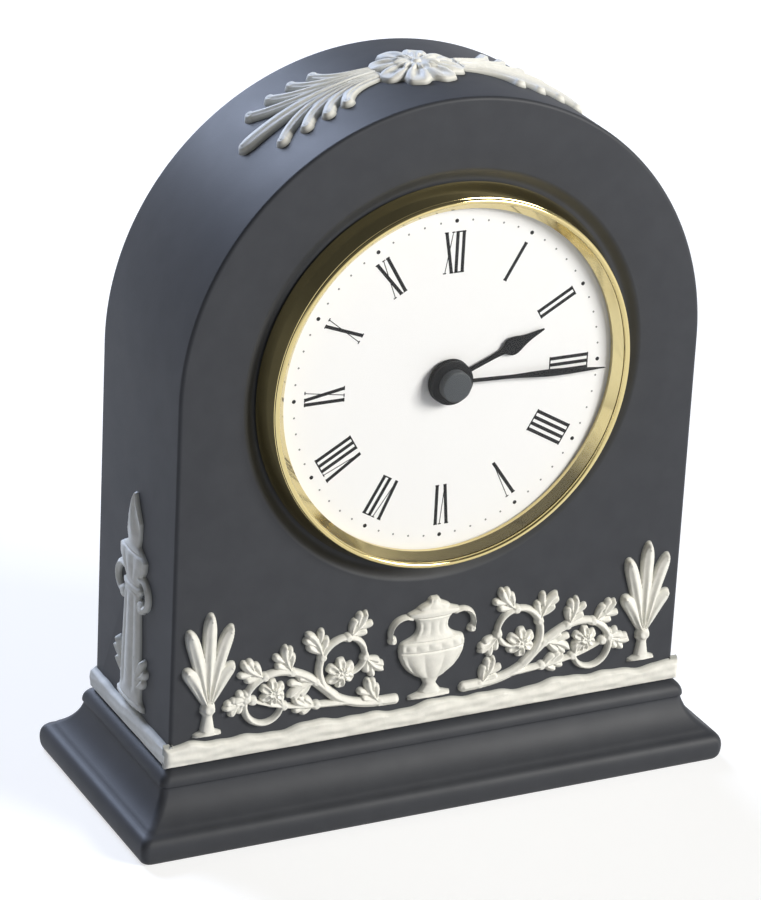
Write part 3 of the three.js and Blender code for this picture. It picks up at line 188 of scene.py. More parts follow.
@dataclass(frozen=True)
class Finish:
    """An opaque finish: its colours, its gloss and the grain of its surface, in millimetres."""

    name: str
    colour: str
    roughness: float
    metallic: float = 0.0
    ior: float = 1.5
    mirror: float = 0.5
    coat: float = 0.0
    coat_roughness: float = 0.1
    mottle: str = ""
    mottle_size: float = 4.0
    grain_size: float = 0.0
    grain_depth: float = 0.02
    gloss_change: float = 0.0
    gloss_size: float = 9.0

    def material(self) -> Material:
        """The Blender material of this finish, built once."""
        return bpy.data.materials.get(self.name) or self.build()

    def build(self) -> Material:
        """Builds the material.

        Returns:
            A material whose patterns read Object coordinates.
        """
        made = bpy.data.materials.new(self.name)
        tree = empty_tree(made)
        place = add_node(tree, "ShaderNodeTexCoord").outputs["Object"]
        inputs = {"Base Color": linear(self.colour), "Roughness": self.roughness, "Metallic": self.metallic}
        if not self.metallic:
            inputs["IOR"] = self.ior
            inputs["Specular IOR Level"] = self.mirror
        if self.coat:
            inputs["Coat Weight"] = self.coat
            inputs["Coat Roughness"] = self.coat_roughness
        if self.mottle:
            inputs["Base Color"] = self.colour_pattern(tree, place)
        if self.gloss_change:
            inputs["Roughness"] = self.gloss_pattern(tree, place)
        if self.grain_size:
            inputs["Normal"] = self.grain(tree, place)
        shader = add_node(tree, "ShaderNodeBsdfPrincipled", inputs)
        add_node(tree, "ShaderNodeOutputMaterial", {"Surface": shader.outputs[0]})
        return made

    def noise(self, tree: NodeTree, place: NodeSocket, size: float) -> NodeSocket:
        """Noise whose lumps are about a size in millimetres across.

        Args:
            tree: The material's tree.
            place: The coordinates it reads.
            size: Width of a lump.

        Returns:
            Noise from 0 to 1.
        """
        node = add_node(tree, "ShaderNodeTexNoise",
                        {"Vector": place, "Scale": 1 / (size * MM), "Detail": 3.0, "Roughness": 0.55})
        return node.outputs["Fac"]

    def colour_pattern(self, tree: NodeTree, place: NodeSocket) -> NodeSocket:
        """Soft patches between the two colours of the finish.

        Args:
            tree: The material's tree.
            place: The coordinates it reads.

        Returns:
            The colour at each place.
        """
        ramp = add_node(tree, "ShaderNodeMapRange",
                        {"Value": self.noise(tree, place, self.mottle_size), "From Min": 0.35,
                         "From Max": 0.65})
        mix = add_node(tree, "ShaderNodeMix", data_type="RGBA",
                       inputs={0: ramp.outputs[0], 6: linear(self.colour), 7: linear(self.mottle)})
        return mix.outputs[2]

    def gloss_pattern(self, tree: NodeTree, place: NodeSocket) -> NodeSocket:
        """Handling and cleaning leave the gloss a little uneven.

        Args:
            tree: The material's tree.
            place: The coordinates it reads.

        Returns:
            The roughness at each place.
        """
        ramp = add_node(tree, "ShaderNodeMapRange",
                        {"Value": self.noise(tree, place, self.gloss_size),
                         "To Min": self.roughness - self.gloss_change,
                         "To Max": self.roughness + self.gloss_change})
        return ramp.outputs[0]

    def grain(self, tree: NodeTree, place: NodeSocket) -> NodeSocket:
        """A fine bump over the whole surface.

        Args:
            tree: The material's tree.
            place: The coordinates it reads.

        Returns:
            The bumped normal.
        """
        bump = add_node(tree, "ShaderNodeBump",
                        {"Height": self.noise(tree, place, self.grain_size),
                         "Distance": self.grain_depth * MM, "Strength": 1.0})
        return bump.outputs[0]


@dataclass(frozen=True)
class ClearFinish(Finish):
    """A thin clear window that shows what is behind it and mirrors by Fresnel."""

    def build(self) -> Material:
        """Builds the material.

        Returns:
            A see-through material with a polished reflection.
        """
        made = bpy.data.materials.new(self.name)
        tree = empty_tree(made)
        fresnel = add_node(tree, "ShaderNodeFresnel", {"IOR": self.ior})
        inner = add_node(tree, "ShaderNodeNewGeometry").outputs["Backfacing"]
        outer = add_node(tree, "ShaderNodeMath", {0: 1.0, 1: inner}, operation="SUBTRACT")
        edge = add_node(tree, "ShaderNodeMath", {0: fresnel.outputs[0], 1: outer.outputs[0]},
                        operation="MULTIPLY")
        clear = add_node(tree, "ShaderNodeBsdfTransparent", {"Color": linear(self.colour)})
        mirror = add_node(tree, "ShaderNodeBsdfGlossy",
                          {"Color": linear("#FFFFFF"), "Roughness": self.roughness})
        both = add_node(tree, "ShaderNodeMixShader",
                        {0: edge.outputs[0], 1: clear.outputs[0], 2: mirror.outputs[0]})
        add_node(tree, "ShaderNodeOutputMaterial", {"Surface": both.outputs[0]})
        return made


@dataclass(frozen=True)
class ThinClayFinish(Finish):
    """Pale clay over a dark body: where it is thin, the dark shows through and greys it."""

    thin_colour: str = "#A9AAA4"
    thin: float = 0.05
    full: float = 0.6

    def colour_pattern(self, tree: NodeTree, place: NodeSocket) -> NodeSocket:
        """Mixes the mottle with the greyed colour by the height of the relief.

        Args:
            tree: The material's tree.
            place: The coordinates it reads.

        Returns:
            The colour at each place.
        """
        pattern = super().colour_pattern(tree, place)
        height = add_node(tree, "ShaderNodeAttribute", attribute_name="relief_height")
        ramp = add_node(tree, "ShaderNodeMapRange",
                        {"Value": height.outputs["Fac"], "From Min": self.thin, "From Max": self.full})
        mix = add_node(tree, "ShaderNodeMix", {0: ramp.outputs[0], 6: linear(self.thin_colour), 7: pattern},
                       data_type="RGBA")
        return mix.outputs[2]


# Unglazed vitreous stoneware: dense, matt, with the faintest sheen and a grain like fine slate.
STONEWARE = Finish("black_stoneware_moulded_unglazed", "#3A3C41", 0.54, mirror=0.3, mottle="#36383D",
                   mottle_size=6.0, grain_size=0.35, grain_depth=0.012, gloss_change=0.05)
# White clay pressed in a mould and laid on: chalky, a little greyer where it is thin.
RELIEF_CLAY = ThinClayFinish("white_clay_sprigged_thin_edges", "#F1EFE7", 0.62, mottle="#E8E7DF",
                             mottle_size=1.5, grain_size=0.3)
# Spun brass, polished and lacquered: a mirror that colours all it shows.
BRASS = Finish("brass_spun_polished", "#DBCA92", 0.09, metallic=1.0, gloss_change=0.03)
# Moulded acrylic with a glare coat: clear, with a weak mirror of the room.
CRYSTAL = ClearFinish("acrylic_crystal_polished", "#FFFFFF", 0.02, ior=1.35)
# Lacquer on aluminium: flat bright white with a satin skin.
DIAL = Finish("white_lacquer_on_aluminium", "#FCFCFC", 0.45)
# Pad-printed ink: thin, black and slightly glossy.
INK = Finish("black_ink_pad_printed", "#141517", 0.6, mirror=0.15)
# The same in grey, for dots so small that they read as pale specks.
GREY_INK = Finish("grey_ink_pad_printed", "#77787A", 0.5)
# Stamped aluminium hands in black enamel: deep black with a low sheen.
ENAMEL = Finish("black_enamel_on_stamped_hands", "#0E0F11", 0.55, mirror=0.12)
# Turned nut in satin enamel, lighter grey than the black hands: partly its own grey, partly a painted
# highlight for the lamp it catches.
NUT_ENAMEL_PAINTED_HIGHLIGHT = Finish("grey_satin_hand_nut_painted_highlight", "#45494D", 0.45, mirror=0.3)
# Nitrile rubber: dead black and matt.
RUBBER = Finish("nitrile_rubber_moulded", "#1B1B1C", 0.8, grain_size=0.5, grain_depth=0.01)
# Styrene housing with a spark-eroded texture that breaks up its gloss.
PLASTIC = Finish("black_styrene_spark_textured", "#232425", 0.48, ior=1.55, grain_size=0.25, grain_depth=0.02)
# Acetal wheels: milky and waxy.
GEARS = Finish("acetal_moulded_natural", "#ECE8DA", 0.4, ior=1.48)
# Spring and shaft steel, bright drawn: a soft grey mirror.
STEEL = Finish("steel_bright_drawn", "#C3C3BF", 0.3, metallic=1.0)
# Foil band of a dry cell: copper under clear film, with a warm broad shine.
COPPER = Finish("copper_foil_sleeve_band", "#B4602F", 0.32, metallic=1.0)
# Glass-fibre board under solder mask: green with a clear gloss.
BOARD = Finish("fibreglass_board_masked", "#2C6A3F", 0.5, coat=0.4)
# Shrink sleeve of a dry cell: dark grey film with a sharp gloss.
CELL = Finish("cell_sleeve_shrunk", "#4A4D52", 0.36, coat=0.3)

# What each CAD node is made of, whether it shows or a finer piece stands for it.
FINISH_OF_NODE = {
    STONEWARE: ["case_body"],
    RELIEF_CLAY: ["ground_band_front", "ground_band_left", "ground_band_right", "frieze_urn",
                  "frieze_scroll_left", "frieze_scroll_right", "frieze_palmette_left",
                  "frieze_palmette_right", "side_ornament_left", "side_ornament_right", "top_rosette",
                  "top_leaf_left", "top_leaf_right"],
    BRASS: ["bezel_ring", "reflector_ring"],
    CRYSTAL: ["crystal"],
    DIAL: ["dial_plate"],
    RUBBER: ["gasket_ring"],
    PLASTIC: ["insert_pan", "front_plate", "back_cover", "setting_knob", "train_bridge"],
    ENAMEL: ["hour_hand", "minute_hand"],
    NUT_ENAMEL_PAINTED_HIGHLIGHT: ["hand_cap"],
    GEARS: ["hour_wheel", "minute_wheel", "centre_wheel", "third_wheel", "second_wheel", "fifth_wheel",
            "rotor", "minute_arbor", "coil_bobbin"],
    STEEL: ["stator_plate", "contact_plus", "contact_minus", "quartz_can"],
    BOARD: ["circuit_board"],
    CELL: ["battery_cell"],
}


# Making pieces


def mesh_of(name: str, points: Iterable, faces: Iterable) -> Mesh:
    """Makes a closed mesh from points in millimetres.

    Args:
        name: The mesh's name.
        points: Corners in millimetres, in the frame's axes.
        faces: Lists of corner numbers.

    Returns:
        The mesh in metres, welded, with its faces turned outwards.
    """
    mesh = bpy.data.meshes.new(name)
    mesh.from_pydata([tuple(value * MM for value in point) for point in points], [], list(faces))
    close_up(mesh)
    return mesh


def close_up(mesh: Mesh) -> None:
    """Welds a closed mesh, drops faces without area and turns its faces outwards.

    Args:
        mesh: The mesh, changed in place.
    """
    work = bmesh.new()
    work.from_mesh(mesh)
    bmesh.ops.remove_doubles(work, verts=work.verts, dist=1e-7)
    bmesh.ops.dissolve_degenerate(work, edges=work.edges, dist=1e-8)
    bmesh.ops.recalc_face_normals(work, faces=work.faces)
    work.to_mesh(mesh)
    work.free()


def placed(name: str, data: Optional[bpy.types.ID]) -> Object:
    """Makes an object at the origin and puts it in the scene.

    Args:
        name: Its name.
        data: The mesh, lamp or camera it shows.

    Returns:
        The new object.
    """
    made = bpy.data.objects.new(name, data)
    bpy.context.scene.collection.objects.link(made)
    return made


def add_piece(name: str, mesh: Mesh, finish: Finish, body: str,
              instead_of: Sequence[str] = (), crease: float = 32.0) -> Object:
    """Puts a finished mesh in the scene as a piece of the clock.

    Args:
        name: The piece's name.
        mesh: Its mesh, in place.
        finish: What it is made of.
        body: The CAD body it moves with.
        instead_of: CAD nodes it stands for.
        crease: Angle in degrees past which an edge stays sharp.

    Returns:
        The new object.
    """
    piece = placed(name, mesh)
    mesh.shade_smooth()
    mesh.set_sharp_from_angle(angle=math.radians(crease))
    mesh.materials.clear()
    mesh.materials.append(finish.material())
    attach(piece, body)
    if instead_of:
        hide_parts(*instead_of)
    LOG.info("%s: %d faces on %s", name, len(mesh.polygons), body)
    return piece


def applied(name: str, base: Object) -> Mesh:
    """Turns an object's evaluated modifiers into a plain mesh and drops the object.

    Args:
        name: Name of the new mesh.
        base: A linked object with modifiers.

    Returns:
        The mesh with its modifiers applied.
    """
    graph = bpy.context.evaluated_depsgraph_get()
    made = bpy.data.meshes.new_from_object(base.evaluated_get(graph), depsgraph=graph)
    made.name = name
    bpy.data.objects.remove(base)
    return made


def combined(name: str, base: Mesh, tools: Sequence[tuple[Mesh, str]]) -> Mesh:
    """Cuts or joins closed meshes, one after another.

    Args:
        name: Name of the result.
        base: The mesh that is worked on.
        tools: Meshes with the operation each is used for.

    Returns:
        One closed mesh.
    """
    body = placed(name, base)
    helpers = []
    for number, (tool, operation) in enumerate(tools):
        helper = placed(f"{name}_tool_{number}", tool)
        step = body.modifiers.new(f"step_{number}", "BOOLEAN")
        step.operation = operation
        step.solver = "MANIFOLD"
        step.object = helper
        helpers.append(helper)
    result = applied(name, body)
    for helper in helpers:
        bpy.data.objects.remove(helper)
    return result


def turned(name: str, profile: Profile, segments: int = 256) -> Mesh:
    """Turns a closed section about the dial's axis.

    Args:
        name: The mesh's name.
        profile: Pairs of radius and depth behind the case's front face.
        segments: Facets round the ring.

    Returns:
        A closed ring, or a closed disc where the section meets the axis.
    """
    angles = np.linspace(0, 2 * math.pi, segments, endpoint=False)
    points, faces = [], []
    for radius, depth in profile:
        for angle in angles:
            points.append((radius * math.sin(angle), depth - SIZES.half_depth,
                           SIZES.dial_height + radius * math.cos(angle)))
    count = len(profile)
    for i in range(count):
        j = (i + 1) % count
        if profile[i][0] == 0 and profile[j][0] == 0:
            continue
        for k in range(segments):
            after = (k + 1) % segments
            faces.append((i * segments + k, i * segments + after, j * segments + after, j * segments + k))
    return mesh_of(name, points, faces)


def arc(centre: Pair, radius: float, start: float, end: float, steps: int) -> list[Pair]:
    """Points of an arc in a section, angles in radians."""
    return [(centre[0] + radius * math.cos(start + (end - start) * i / steps),
             centre[1] + radius * math.sin(start + (end - start) * i / steps)) for i in range(steps + 1)]


def quadratic(start: Pair, bend: Pair, end: Pair, steps: int) -> list[Pair]:
    """Points of a quadratic curve after its start.

    Args:
        start: Where it starts.
        bend: Its control point.
        end: Where it ends.
        steps: Number of facets.

    Returns:
        All its points but the first.
    """
    out = []
    for i in range(1, steps + 1):
        u = i / steps
        out.append(tuple((1 - u) ** 2 * a + 2 * u * (1 - u) * b + u * u * c
                         for a, b, c in zip(start, bend, end)))
    return out


def lofted(name: str, rings: Sequence[Sequence]) -> Mesh:
    """Joins rings of equal length into a closed mesh with flat ends.

    Args:
        name: The mesh's name.
        rings: Rings of points in millimetres, in order.

    Returns:
        A closed mesh.
    """
    count = len(rings[0])
    points = [p for ring in rings for p in ring]
    faces = [tuple(range(count)), tuple(range((len(rings) - 1) * count, len(rings) * count))]
    for i in range(len(rings) - 1):
        for k in range(count):
            after = (k + 1) % count
            faces.append((i * count + k, i * count + after, (i + 1) * count + after, (i + 1) * count + k))
    return mesh_of(name, points, faces)


def rounded_outline(half_width: float, half_height: float, corner: float, middle: Pair = (0.0, 0.0),
                    steps: int = 8) -> list[Pair]:
    """Outline of a rectangle with round corners.

    Args:
        half_width: Half its width.
        half_height: Half its height.
        corner: Radius of its corners.
        middle: Its middle.
        steps: Facets of a corner.

    Returns:
        Its points, all the way round.
    """
    points = []
    for side_x, side_y, start in ((1, -1, -90), (1, 1, 0), (-1, 1, 90), (-1, -1, 180)):
        for i in range(steps + 1):
            angle = math.radians(start + 90 * i / steps)
            points.append((middle[0] + side_x * (half_width - corner) + corner * math.cos(angle),
                           middle[1] + side_y * (half_height - corner) + corner * math.sin(angle)))
    return points


# The stoneware case


@dataclass
class Case:
    """The arched body with its plinth, bored for the dial, hollow, and open at the back."""

    sizes: ClockSizes
    wall: float = 6.0
    edge: float = 0.8
    edge_steps: int = 8
    arch_steps: int = 128
    body_bottom: float = 5.0
    foot_recess: float = 1.2
    foot_rim: float = 6.0
    rear_opening: float = 33.0
    rear_chamfer: float = 0.8
    lip_width: float = 3.4
    lip_fall: float = 2.6
    lip_drop: float = 1.35
    lip_steps: int = 24
    land_fall: float = 0.08
    plinth_top: float = 15.7
    ledge_reach: float = 2.35
    ledge_bottom: float = 12.6
    ledge_step: float = 0.3
    cove_reach: float = 6.3
    cove_bottom: float = 6.3
    torus_top: float = 5.6
    torus_centre: float = 2.9
    foot_reach: float = 7.6
    foot_round: float = 0.3
    torus_shoulder: float = 0.6
    torus_nose: float = 0.9
    cove_foot: float = 0.4
    cove_bend: Pair = (0.9, 8.6)
    under_round: float = 0.25
    under_lip: float = 0.15
    ledge_round: float = 0.35
    ledge_slope: Pair = (0.1, 0.7)
    plinth_corner: float = 1.6

    def arch(self, half_width: float, bottom: float, y: float) -> list[Point]:
        """One outline of the arch at a depth.

        Args:
            half_width: Half its width.
            bottom: Height of its foot.
            y: Its depth.

        Returns:
            Its points, all the way round.
        """
        points = [(-half_width, y, bottom), (half_width, y, bottom)]
        for i in range(self.arch_steps + 1):
            angle = math.pi * i / self.arch_steps
            points.append((half_width * math.cos(angle), y,
                           self.sizes.arch_centre + half_width * math.sin(angle)))
        return points

    def arch_body(self) -> Mesh:
        """The arch with its front and back edges rounded over.

        Returns:
            A closed mesh.
        """
        half_depth = self.sizes.half_depth
        turns = [(i / self.edge_steps) * math.pi / 2 for i in range(self.edge_steps + 1)]
        stations = [(1 - math.sin(a), 1 - math.cos(a)) for a in turns]
        places = [(inset, -half_depth + self.edge * back) for inset, back in stations]
        places += [(inset, half_depth - self.edge * back) for inset, back in reversed(stations)]
        return lofted("arch_body", [self.arch(self.sizes.half_width - self.edge * inset, self.body_bottom, y)
                                    for inset, y in places])

    def rounded_ring(self, reach: float, height: float) -> list[Point]:
        """A level outline with round corners, a reach beyond the arch's walls.

        Args:
            reach: How far beyond the walls it lies.
            height: Its height.

        Returns:
            Its points, all the way round.
        """
        outline = rounded_outline(self.sizes.half_width + reach, self.sizes.half_depth + reach,
                                  self.plinth_corner)
        return [(x, y, height) for x, y in outline]

    def plinth_profile(self) -> list[Pair]:
        """Half section of the plinth's moulding: reach beyond the wall, and height.

        Returns:
            Pairs from the floor up.
        """
        torus = self.sizes.plinth_reach
        under = self.ledge_reach - self.ledge_step
        curves = (
            ((torus, self.foot_round), (torus, self.torus_centre), 10),
            ((torus, self.torus_top - self.torus_shoulder),
             (self.cove_reach + self.torus_nose, self.torus_top), 10),
            ((self.cove_reach + self.cove_foot, self.torus_top + self.foot_round),
             (self.cove_reach, self.cove_bottom), 5),
            ((under + self.cove_bend[0], self.cove_bend[1]),
             (under, self.ledge_bottom - self.under_round), 16),
            ((under, self.ledge_bottom), (under + self.under_lip, self.ledge_bottom), 3),
            ((self.ledge_reach, self.ledge_bottom),
             (self.ledge_reach, self.ledge_bottom + self.ledge_round), 4),
            ((self.ledge_reach - self.ledge_slope[0], self.plinth_top - self.ledge_slope[1]),
             (0.0, self.plinth_top), 10),
        )
        points = [(self.foot_reach, 0.0)]
        for bend, end, steps in curves:
            points += quadratic(points[-1], bend, end, steps)
        points.append((-2 * self.edge, self.plinth_top))
        return points

    def plinth_body(self) -> Mesh:
        """The moulded foot the arch stands on."""
        return lofted("plinth_body", [self.rounded_ring(*knot) for knot in self.plinth_profile()])

    def bore(self) -> Mesh:
        """What the round front bore takes away, with the soft step down to the land its rim sits on.

        Returns:
            The cutter.
        """
        bore = self.sizes.bore_radius
        lip = bore + self.lip_width
        profile = [(0.0, -PAST), (lip, -PAST)]
        for i in range(self.lip_steps + 1):
            share = i / self.lip_steps
            profile.append((lip - self.lip_fall * share, self.lip_drop * share * share * (3 - 2 * share)))
        profile += [(bore, self.lip_drop + self.land_fall), (bore, self.wall + PAST), (0.0, self.wall + PAST)]
        return turned("bore", profile)

    def rear_hole(self) -> Mesh:
        """What the round opening in the back takes away.

        Returns:
            The cutter.
        """
        depth = 2 * self.sizes.half_depth
        wide = self.rear_opening + self.rear_chamfer
        inner = depth - self.wall - PAST
        return turned("rear_hole", [
            (0.0, inner), (self.rear_opening, inner), (self.rear_opening, depth - self.rear_chamfer),
            (wide, depth), (wide, depth + PAST), (0.0, depth + PAST)])

    def hollow(self) -> Mesh:
        """The room inside the walls.

        Returns:
            The cutter.
        """
        inner = self.sizes.half_width - self.wall
        y = self.sizes.half_depth - self.wall
        bottom = self.body_bottom + self.foot_recess
        return lofted("hollow", [self.arch(inner, bottom, -y), self.arch(inner, bottom, y)])

    def recess(self) -> Mesh:
        """The shallow recess under the foot."""
        reach = self.foot_reach - self.foot_rim
        return lofted("recess", [self.rounded_ring(reach, -PAST), self.rounded_ring(reach, self.foot_recess)])

    def build(self) -> None:
        """Builds the case as one casting."""
        cuts = (self.hollow(), self.recess(), self.bore(), self.rear_hole())
        mesh = combined("case", self.arch_body(),
                        [(self.plinth_body(), "UNION"), *((cut, "DIFFERENCE") for cut in cuts)])
        add_piece("case_casting", mesh, STONEWARE, "case", ["case_body"], crease=28.0)


# Relief: heights over a patch of wall

Wall = Callable[[np.ndarray, np.ndarray, np.ndarray], np.ndarray]
Detail = Callable[[np.ndarray, np.ndarray], np.ndarray]

# Height, rate along the wall and phase.
Wave = tuple[float, float, float]


def no_detail(along: np.ndarray, across: np.ndarray) -> np.ndarray:
    """Leaves a ridge smooth."""
    return np.zeros_like(across)


def long_grooves(lines: int, depth: float) -> Detail:
    """Grooves that run the length of a lobe and close up towards its tip.

    Args:
        lines: How many grooves.
        depth: Depth of each.

    Returns:
        The detail for a ridge.
    """
    def detail(along: np.ndarray, across: np.ndarray) -> np.ndarray:
        """Height to add at a place."""
        return depth * (np.cos(math.pi * lines * across) - 1) / 2 * np.clip(1.15 - along, 0, 1)
    return detail


@dataclass
class ReliefPatch:
    """Moulded relief drawn as heights over a patch of wall, in millimetres."""

    left: float
    right: float
    low: float
    high: float
    cell: float = 0.13
    sunk: float = 0.45
    edge_slope: float = 2.6
    base: float = 0.2
    fullness: float = 0.6

    def __post_init__(self) -> None:
        """Lays out the grid."""
        self.s = np.arange(self.left, self.right + self.cell, self.cell)
        self.t = np.arange(self.low, self.high + self.cell, self.cell)
        self.height = np.full((len(self.t), len(self.s)), -self.sunk)

    def window(self, left: float, right: float, low: float, high: float) -> tuple:
        """The part of the grid in a rectangle, with its coordinates.

        Args:
            left: Its left edge.
            right: Its right edge.
            low: Its lower edge.
            high: Its upper edge.

        Returns:
            Its slices of the grid, then the coordinates in it.
        """
        across = slice(*np.clip(np.searchsorted(self.s, (left, right)) + (-1, 1), 0, len(self.s)))
        up = slice(*np.clip(np.searchsorted(self.t, (low, high)) + (-1, 1), 0, len(self.t)))
        s, t = np.meshgrid(self.s[across], self.t[up])
        return (up, across), s, t

    def lift(self, area: tuple, height: np.ndarray) -> None:
        """Raises the relief to at least a height."""
        self.height[area] = np.maximum(self.height[area], height)

    def ridge(self, line: np.ndarray, half: np.ndarray, rise: np.ndarray, detail: Detail = no_detail) -> None:
        """A rounded ridge along a line.

        Args:
            line: Points of its middle.
            half: Half width at each point.
            rise: Height at each point.
            detail: Height added by the place along and across it.
        """
        reach = float(half.max()) + self.sunk / self.edge_slope + 2 * self.cell
        last = len(line) - 1
        for i in range(last):
            start, step = line[i], line[i + 1] - line[i]
            low, high = np.minimum(start, line[i + 1]) - reach, np.maximum(start, line[i + 1]) + reach
            area, s, t = self.window(low[0], high[0], low[1], high[1])
            off_s, off_t = s - start[0], t - start[1]
            share = np.clip((off_s * step[0] + off_t * step[1]) / max(float(step @ step), 1e-9), 0, 1)
            side = np.sign(step[0] * off_t - step[1] * off_s)
            distance = np.hypot(off_s - share * step[0], off_t - share * step[1])
            width = np.maximum(half[i] + (half[i + 1] - half[i]) * share, 0.05)
            top = rise[i] + (rise[i + 1] - rise[i]) * share
            across = np.minimum(distance / width, 1)
            body = top * (self.base + (1 - self.base) * (1 - across ** 2) ** self.fullness)
            body += detail((i + share) / last, side * across)
            self.lift(area, np.minimum(body, (width - distance) * self.edge_slope))

    def lobe(self, line: np.ndarray, width: float, height: float, root: float = 0.35,
             detail: Detail = no_detail, crest: float = 0.8) -> None:
        """A leaf lobe: narrow at its root, fullest at its crest, with a round tip.

        Args:
            line: Points of its middle.
            width: Width at its crest.
            height: Height at its tip.
            root: Share of the width at its root.
            detail: Height added by the place along and across it.
            crest: Share of its length where it is fullest.
        """
        along = np.linspace(0, 1, len(line))
        tip = np.sqrt(np.maximum(1 - ((along - crest) / (1 - crest)) ** 2, 0.0))
        swell = np.where(along < crest, root + (1 - root) * np.sin(along / crest * math.pi / 2), tip)
        self.ridge(line, np.maximum(width / 2 * swell, 0.06), height * (0.75 + 0.25 * along), detail)

    def leaf(self, s: float, t: float, heading: float, length: float, curl: float, width: float) -> None:
        """A cut leaf: a middle lobe and two pairs of side lobes that lean off it, each with its groove.

        Args:
            s: Place of its root across the wall.
            t: Place of its root up the wall.
            heading: Angle it starts at.
            length: Its length.
            curl: How far it bends by its tip.
            width: Its width.
        """
        middle, headings = swept(s, t, heading, length, 0.0, curl)
        for place, share, lean in ((4, 0.5, 0.75), (12, 0.5, 0.7)):
            for hand in (-1, 1):
                line, _ = swept(*middle[place], headings[place] + hand * lean, length * share, 0, -hand * 0.4)
                self.lobe(line, width * 0.5, 1.2, 0.5, long_grooves(2, 0.35))
        self.lobe(middle, width * 0.52, 1.4, 0.6, long_grooves(2, 0.4))

    def knob(self, s: float, t: float, radius: float, height: float, hollow: float = 0.0) -> None:
        """A round bead, with a dimple in its middle where hollow is given.

        Args:
            s: Its place across the wall.
            t: Its place up the wall.
            radius: Its radius.
            height: Its height.
            hollow: Depth of the dimple.
        """
        reach = radius + self.sunk / self.edge_slope + self.cell
        area, grid_s, grid_t = self.window(s - reach, s + reach, t - reach, t + reach)
        distance = np.hypot(grid_s - s, grid_t - t)
        share = np.minimum(distance / radius, 1)
        body = height * (self.base + (1 - self.base) * (1 - share ** 2) ** self.fullness)
        body -= hollow * np.exp(-(share / 0.38) ** 2)
        self.lift(area, np.minimum(body, (radius - distance) * self.edge_slope))

    def petals(self, s: float, t: float, radius: float, height: float, count: int, phase: float = 0.0,
               notch: float = 0.3) -> None:
        """A ring of cupped petals with raised rims.

        Args:
            s: Its place across the wall.
            t: Its place up the wall.
            radius: Reach of a petal.
            height: Its height.
            count: How many petals.
            phase: Angle the ring is turned by.
            notch: Share of the radius cut in between two petals.
        """
        reach = radius + 0.5
        area, grid_s, grid_t = self.window(s - reach, s + reach, t - reach, t + reach)
        distance = np.hypot(grid_s - s, grid_t - t)
        turn = (np.arctan2(grid_t - t, grid_s - s) - phase) * count / 2
        edge = radius * (1 - notch * np.abs(np.cos(turn)) ** 5)
        share = np.minimum(distance / edge, 1)
        middle = np.abs(np.sin(turn))
        crown = 0.62 + 0.38 * np.sin(math.pi * share ** 1.6)
        cup = 0.42 * np.exp(-((1 - middle) / 0.16) ** 2) * np.exp(-((share - 0.66) / 0.2) ** 2)
        seam = 0.4 * np.exp(-(middle / 0.2) ** 2) * np.clip(share * 1.6 - 0.35, 0, 1)
        body = height * (crown - cup - seam) * (1 - 0.35 * share ** 6)
        self.lift(area, np.minimum(body, (edge - distance) * self.edge_slope))

    def turned_form(self, s: float, profile: Profile, depth: float, detail: Detail = no_detail) -> None:
        """A half-round turned form from pairs of height and half width; its detail gets millimetres up.

        Args:
            s: Place of its axis.
            profile: The pairs.
            depth: Height off the wall where it is widest.
            detail: Height added by the place up and across it.
        """
        knots = np.asarray(profile, float)
        low, high = knots[0, 0], knots[-1, 0]
        widest = knots[:, 1].max()
        area, grid_s, grid_t = self.window(s - widest - 0.5, s + widest + 0.5, low - 0.4, high + 0.4)
        fine = np.arange(low, high + 0.05, 0.05)
        width = np.interp(fine, knots[:, 0], knots[:, 1])
        width = np.convolve(np.pad(width, 6, mode="edge"), np.ones(13) / 13, mode="valid")
        half = np.interp(grid_t, fine, width)
        lean = np.interp(grid_t, fine, np.gradient(width, fine))
        away = (half - np.abs(grid_s - s)) / np.sqrt(1 + lean ** 2)
        away = np.minimum(away, np.minimum(grid_t - low, high - grid_t))
        across = np.clip((grid_s - s) / half, -1, 1)
        body = depth * (0.45 + 0.55 * half / widest)
        body = body * (self.base + (1 - self.base) * np.sqrt(1 - across ** 2)) + detail(grid_t, across)
        self.lift(area, np.minimum(body, away * self.edge_slope))

    def mesh(self, name: str, wall: Wall) -> Mesh:
        """The relief as a closed mesh on its wall, sunk a little into it.

        Args:
            name: The mesh's name.
            wall: Places the relief's points.

        Returns:
            The mesh, with the height of each point as the attribute relief_height.
        """
        shown = self.height > -self.sunk + 1e-6
        cells = shown[:-1, :-1] | shown[1:, :-1] | shown[:-1, 1:] | shown[1:, 1:]
        used = np.zeros(shown.shape, bool)
        for up in (slice(None, -1), slice(1, None)):
            for across in (slice(None, -1), slice(1, None)):
                used[up, across] |= cells
        number = np.full(shown.shape, -1)
        number[used] = np.arange(used.sum())
        s, t = np.meshgrid(self.s, self.t)
        front = wall(s[used], t[used], self.height[used])
        back = wall(s[used], t[used], np.full(used.sum(), -self.sunk - 0.1))
        count = len(front)
        a, b = number[:-1, :-1], number[:-1, 1:]
        d, c = number[1:, :-1], number[1:, 1:]
        faces = [np.stack([x[cells] for x in (a, b, c, d)], 1)]
        faces.append(faces[0][:, ::-1] + count)
        padded = np.pad(cells, 1)
        sides = ((padded[:-2, 1:-1], a, b), (padded[1:-1, 2:], b, c), (padded[2:, 1:-1], c, d),
                 (padded[1:-1, :-2], d, a))
        for beyond, first, second in sides:
            open_side = cells & ~beyond
            p, q = first[open_side], second[open_side]
            faces.append(np.stack([p, p + count, q + count, q], 1))
        mesh = bpy.data.meshes.new(name)
        mesh.from_pydata((np.vstack([front, back]) * MM).tolist(), [], np.vstack(faces).tolist())
        height = mesh.attributes.new("relief_height", "FLOAT", "POINT")
        height.data.foreach_set("value", np.concatenate([self.height[used], np.zeros(count)]))
        return mesh


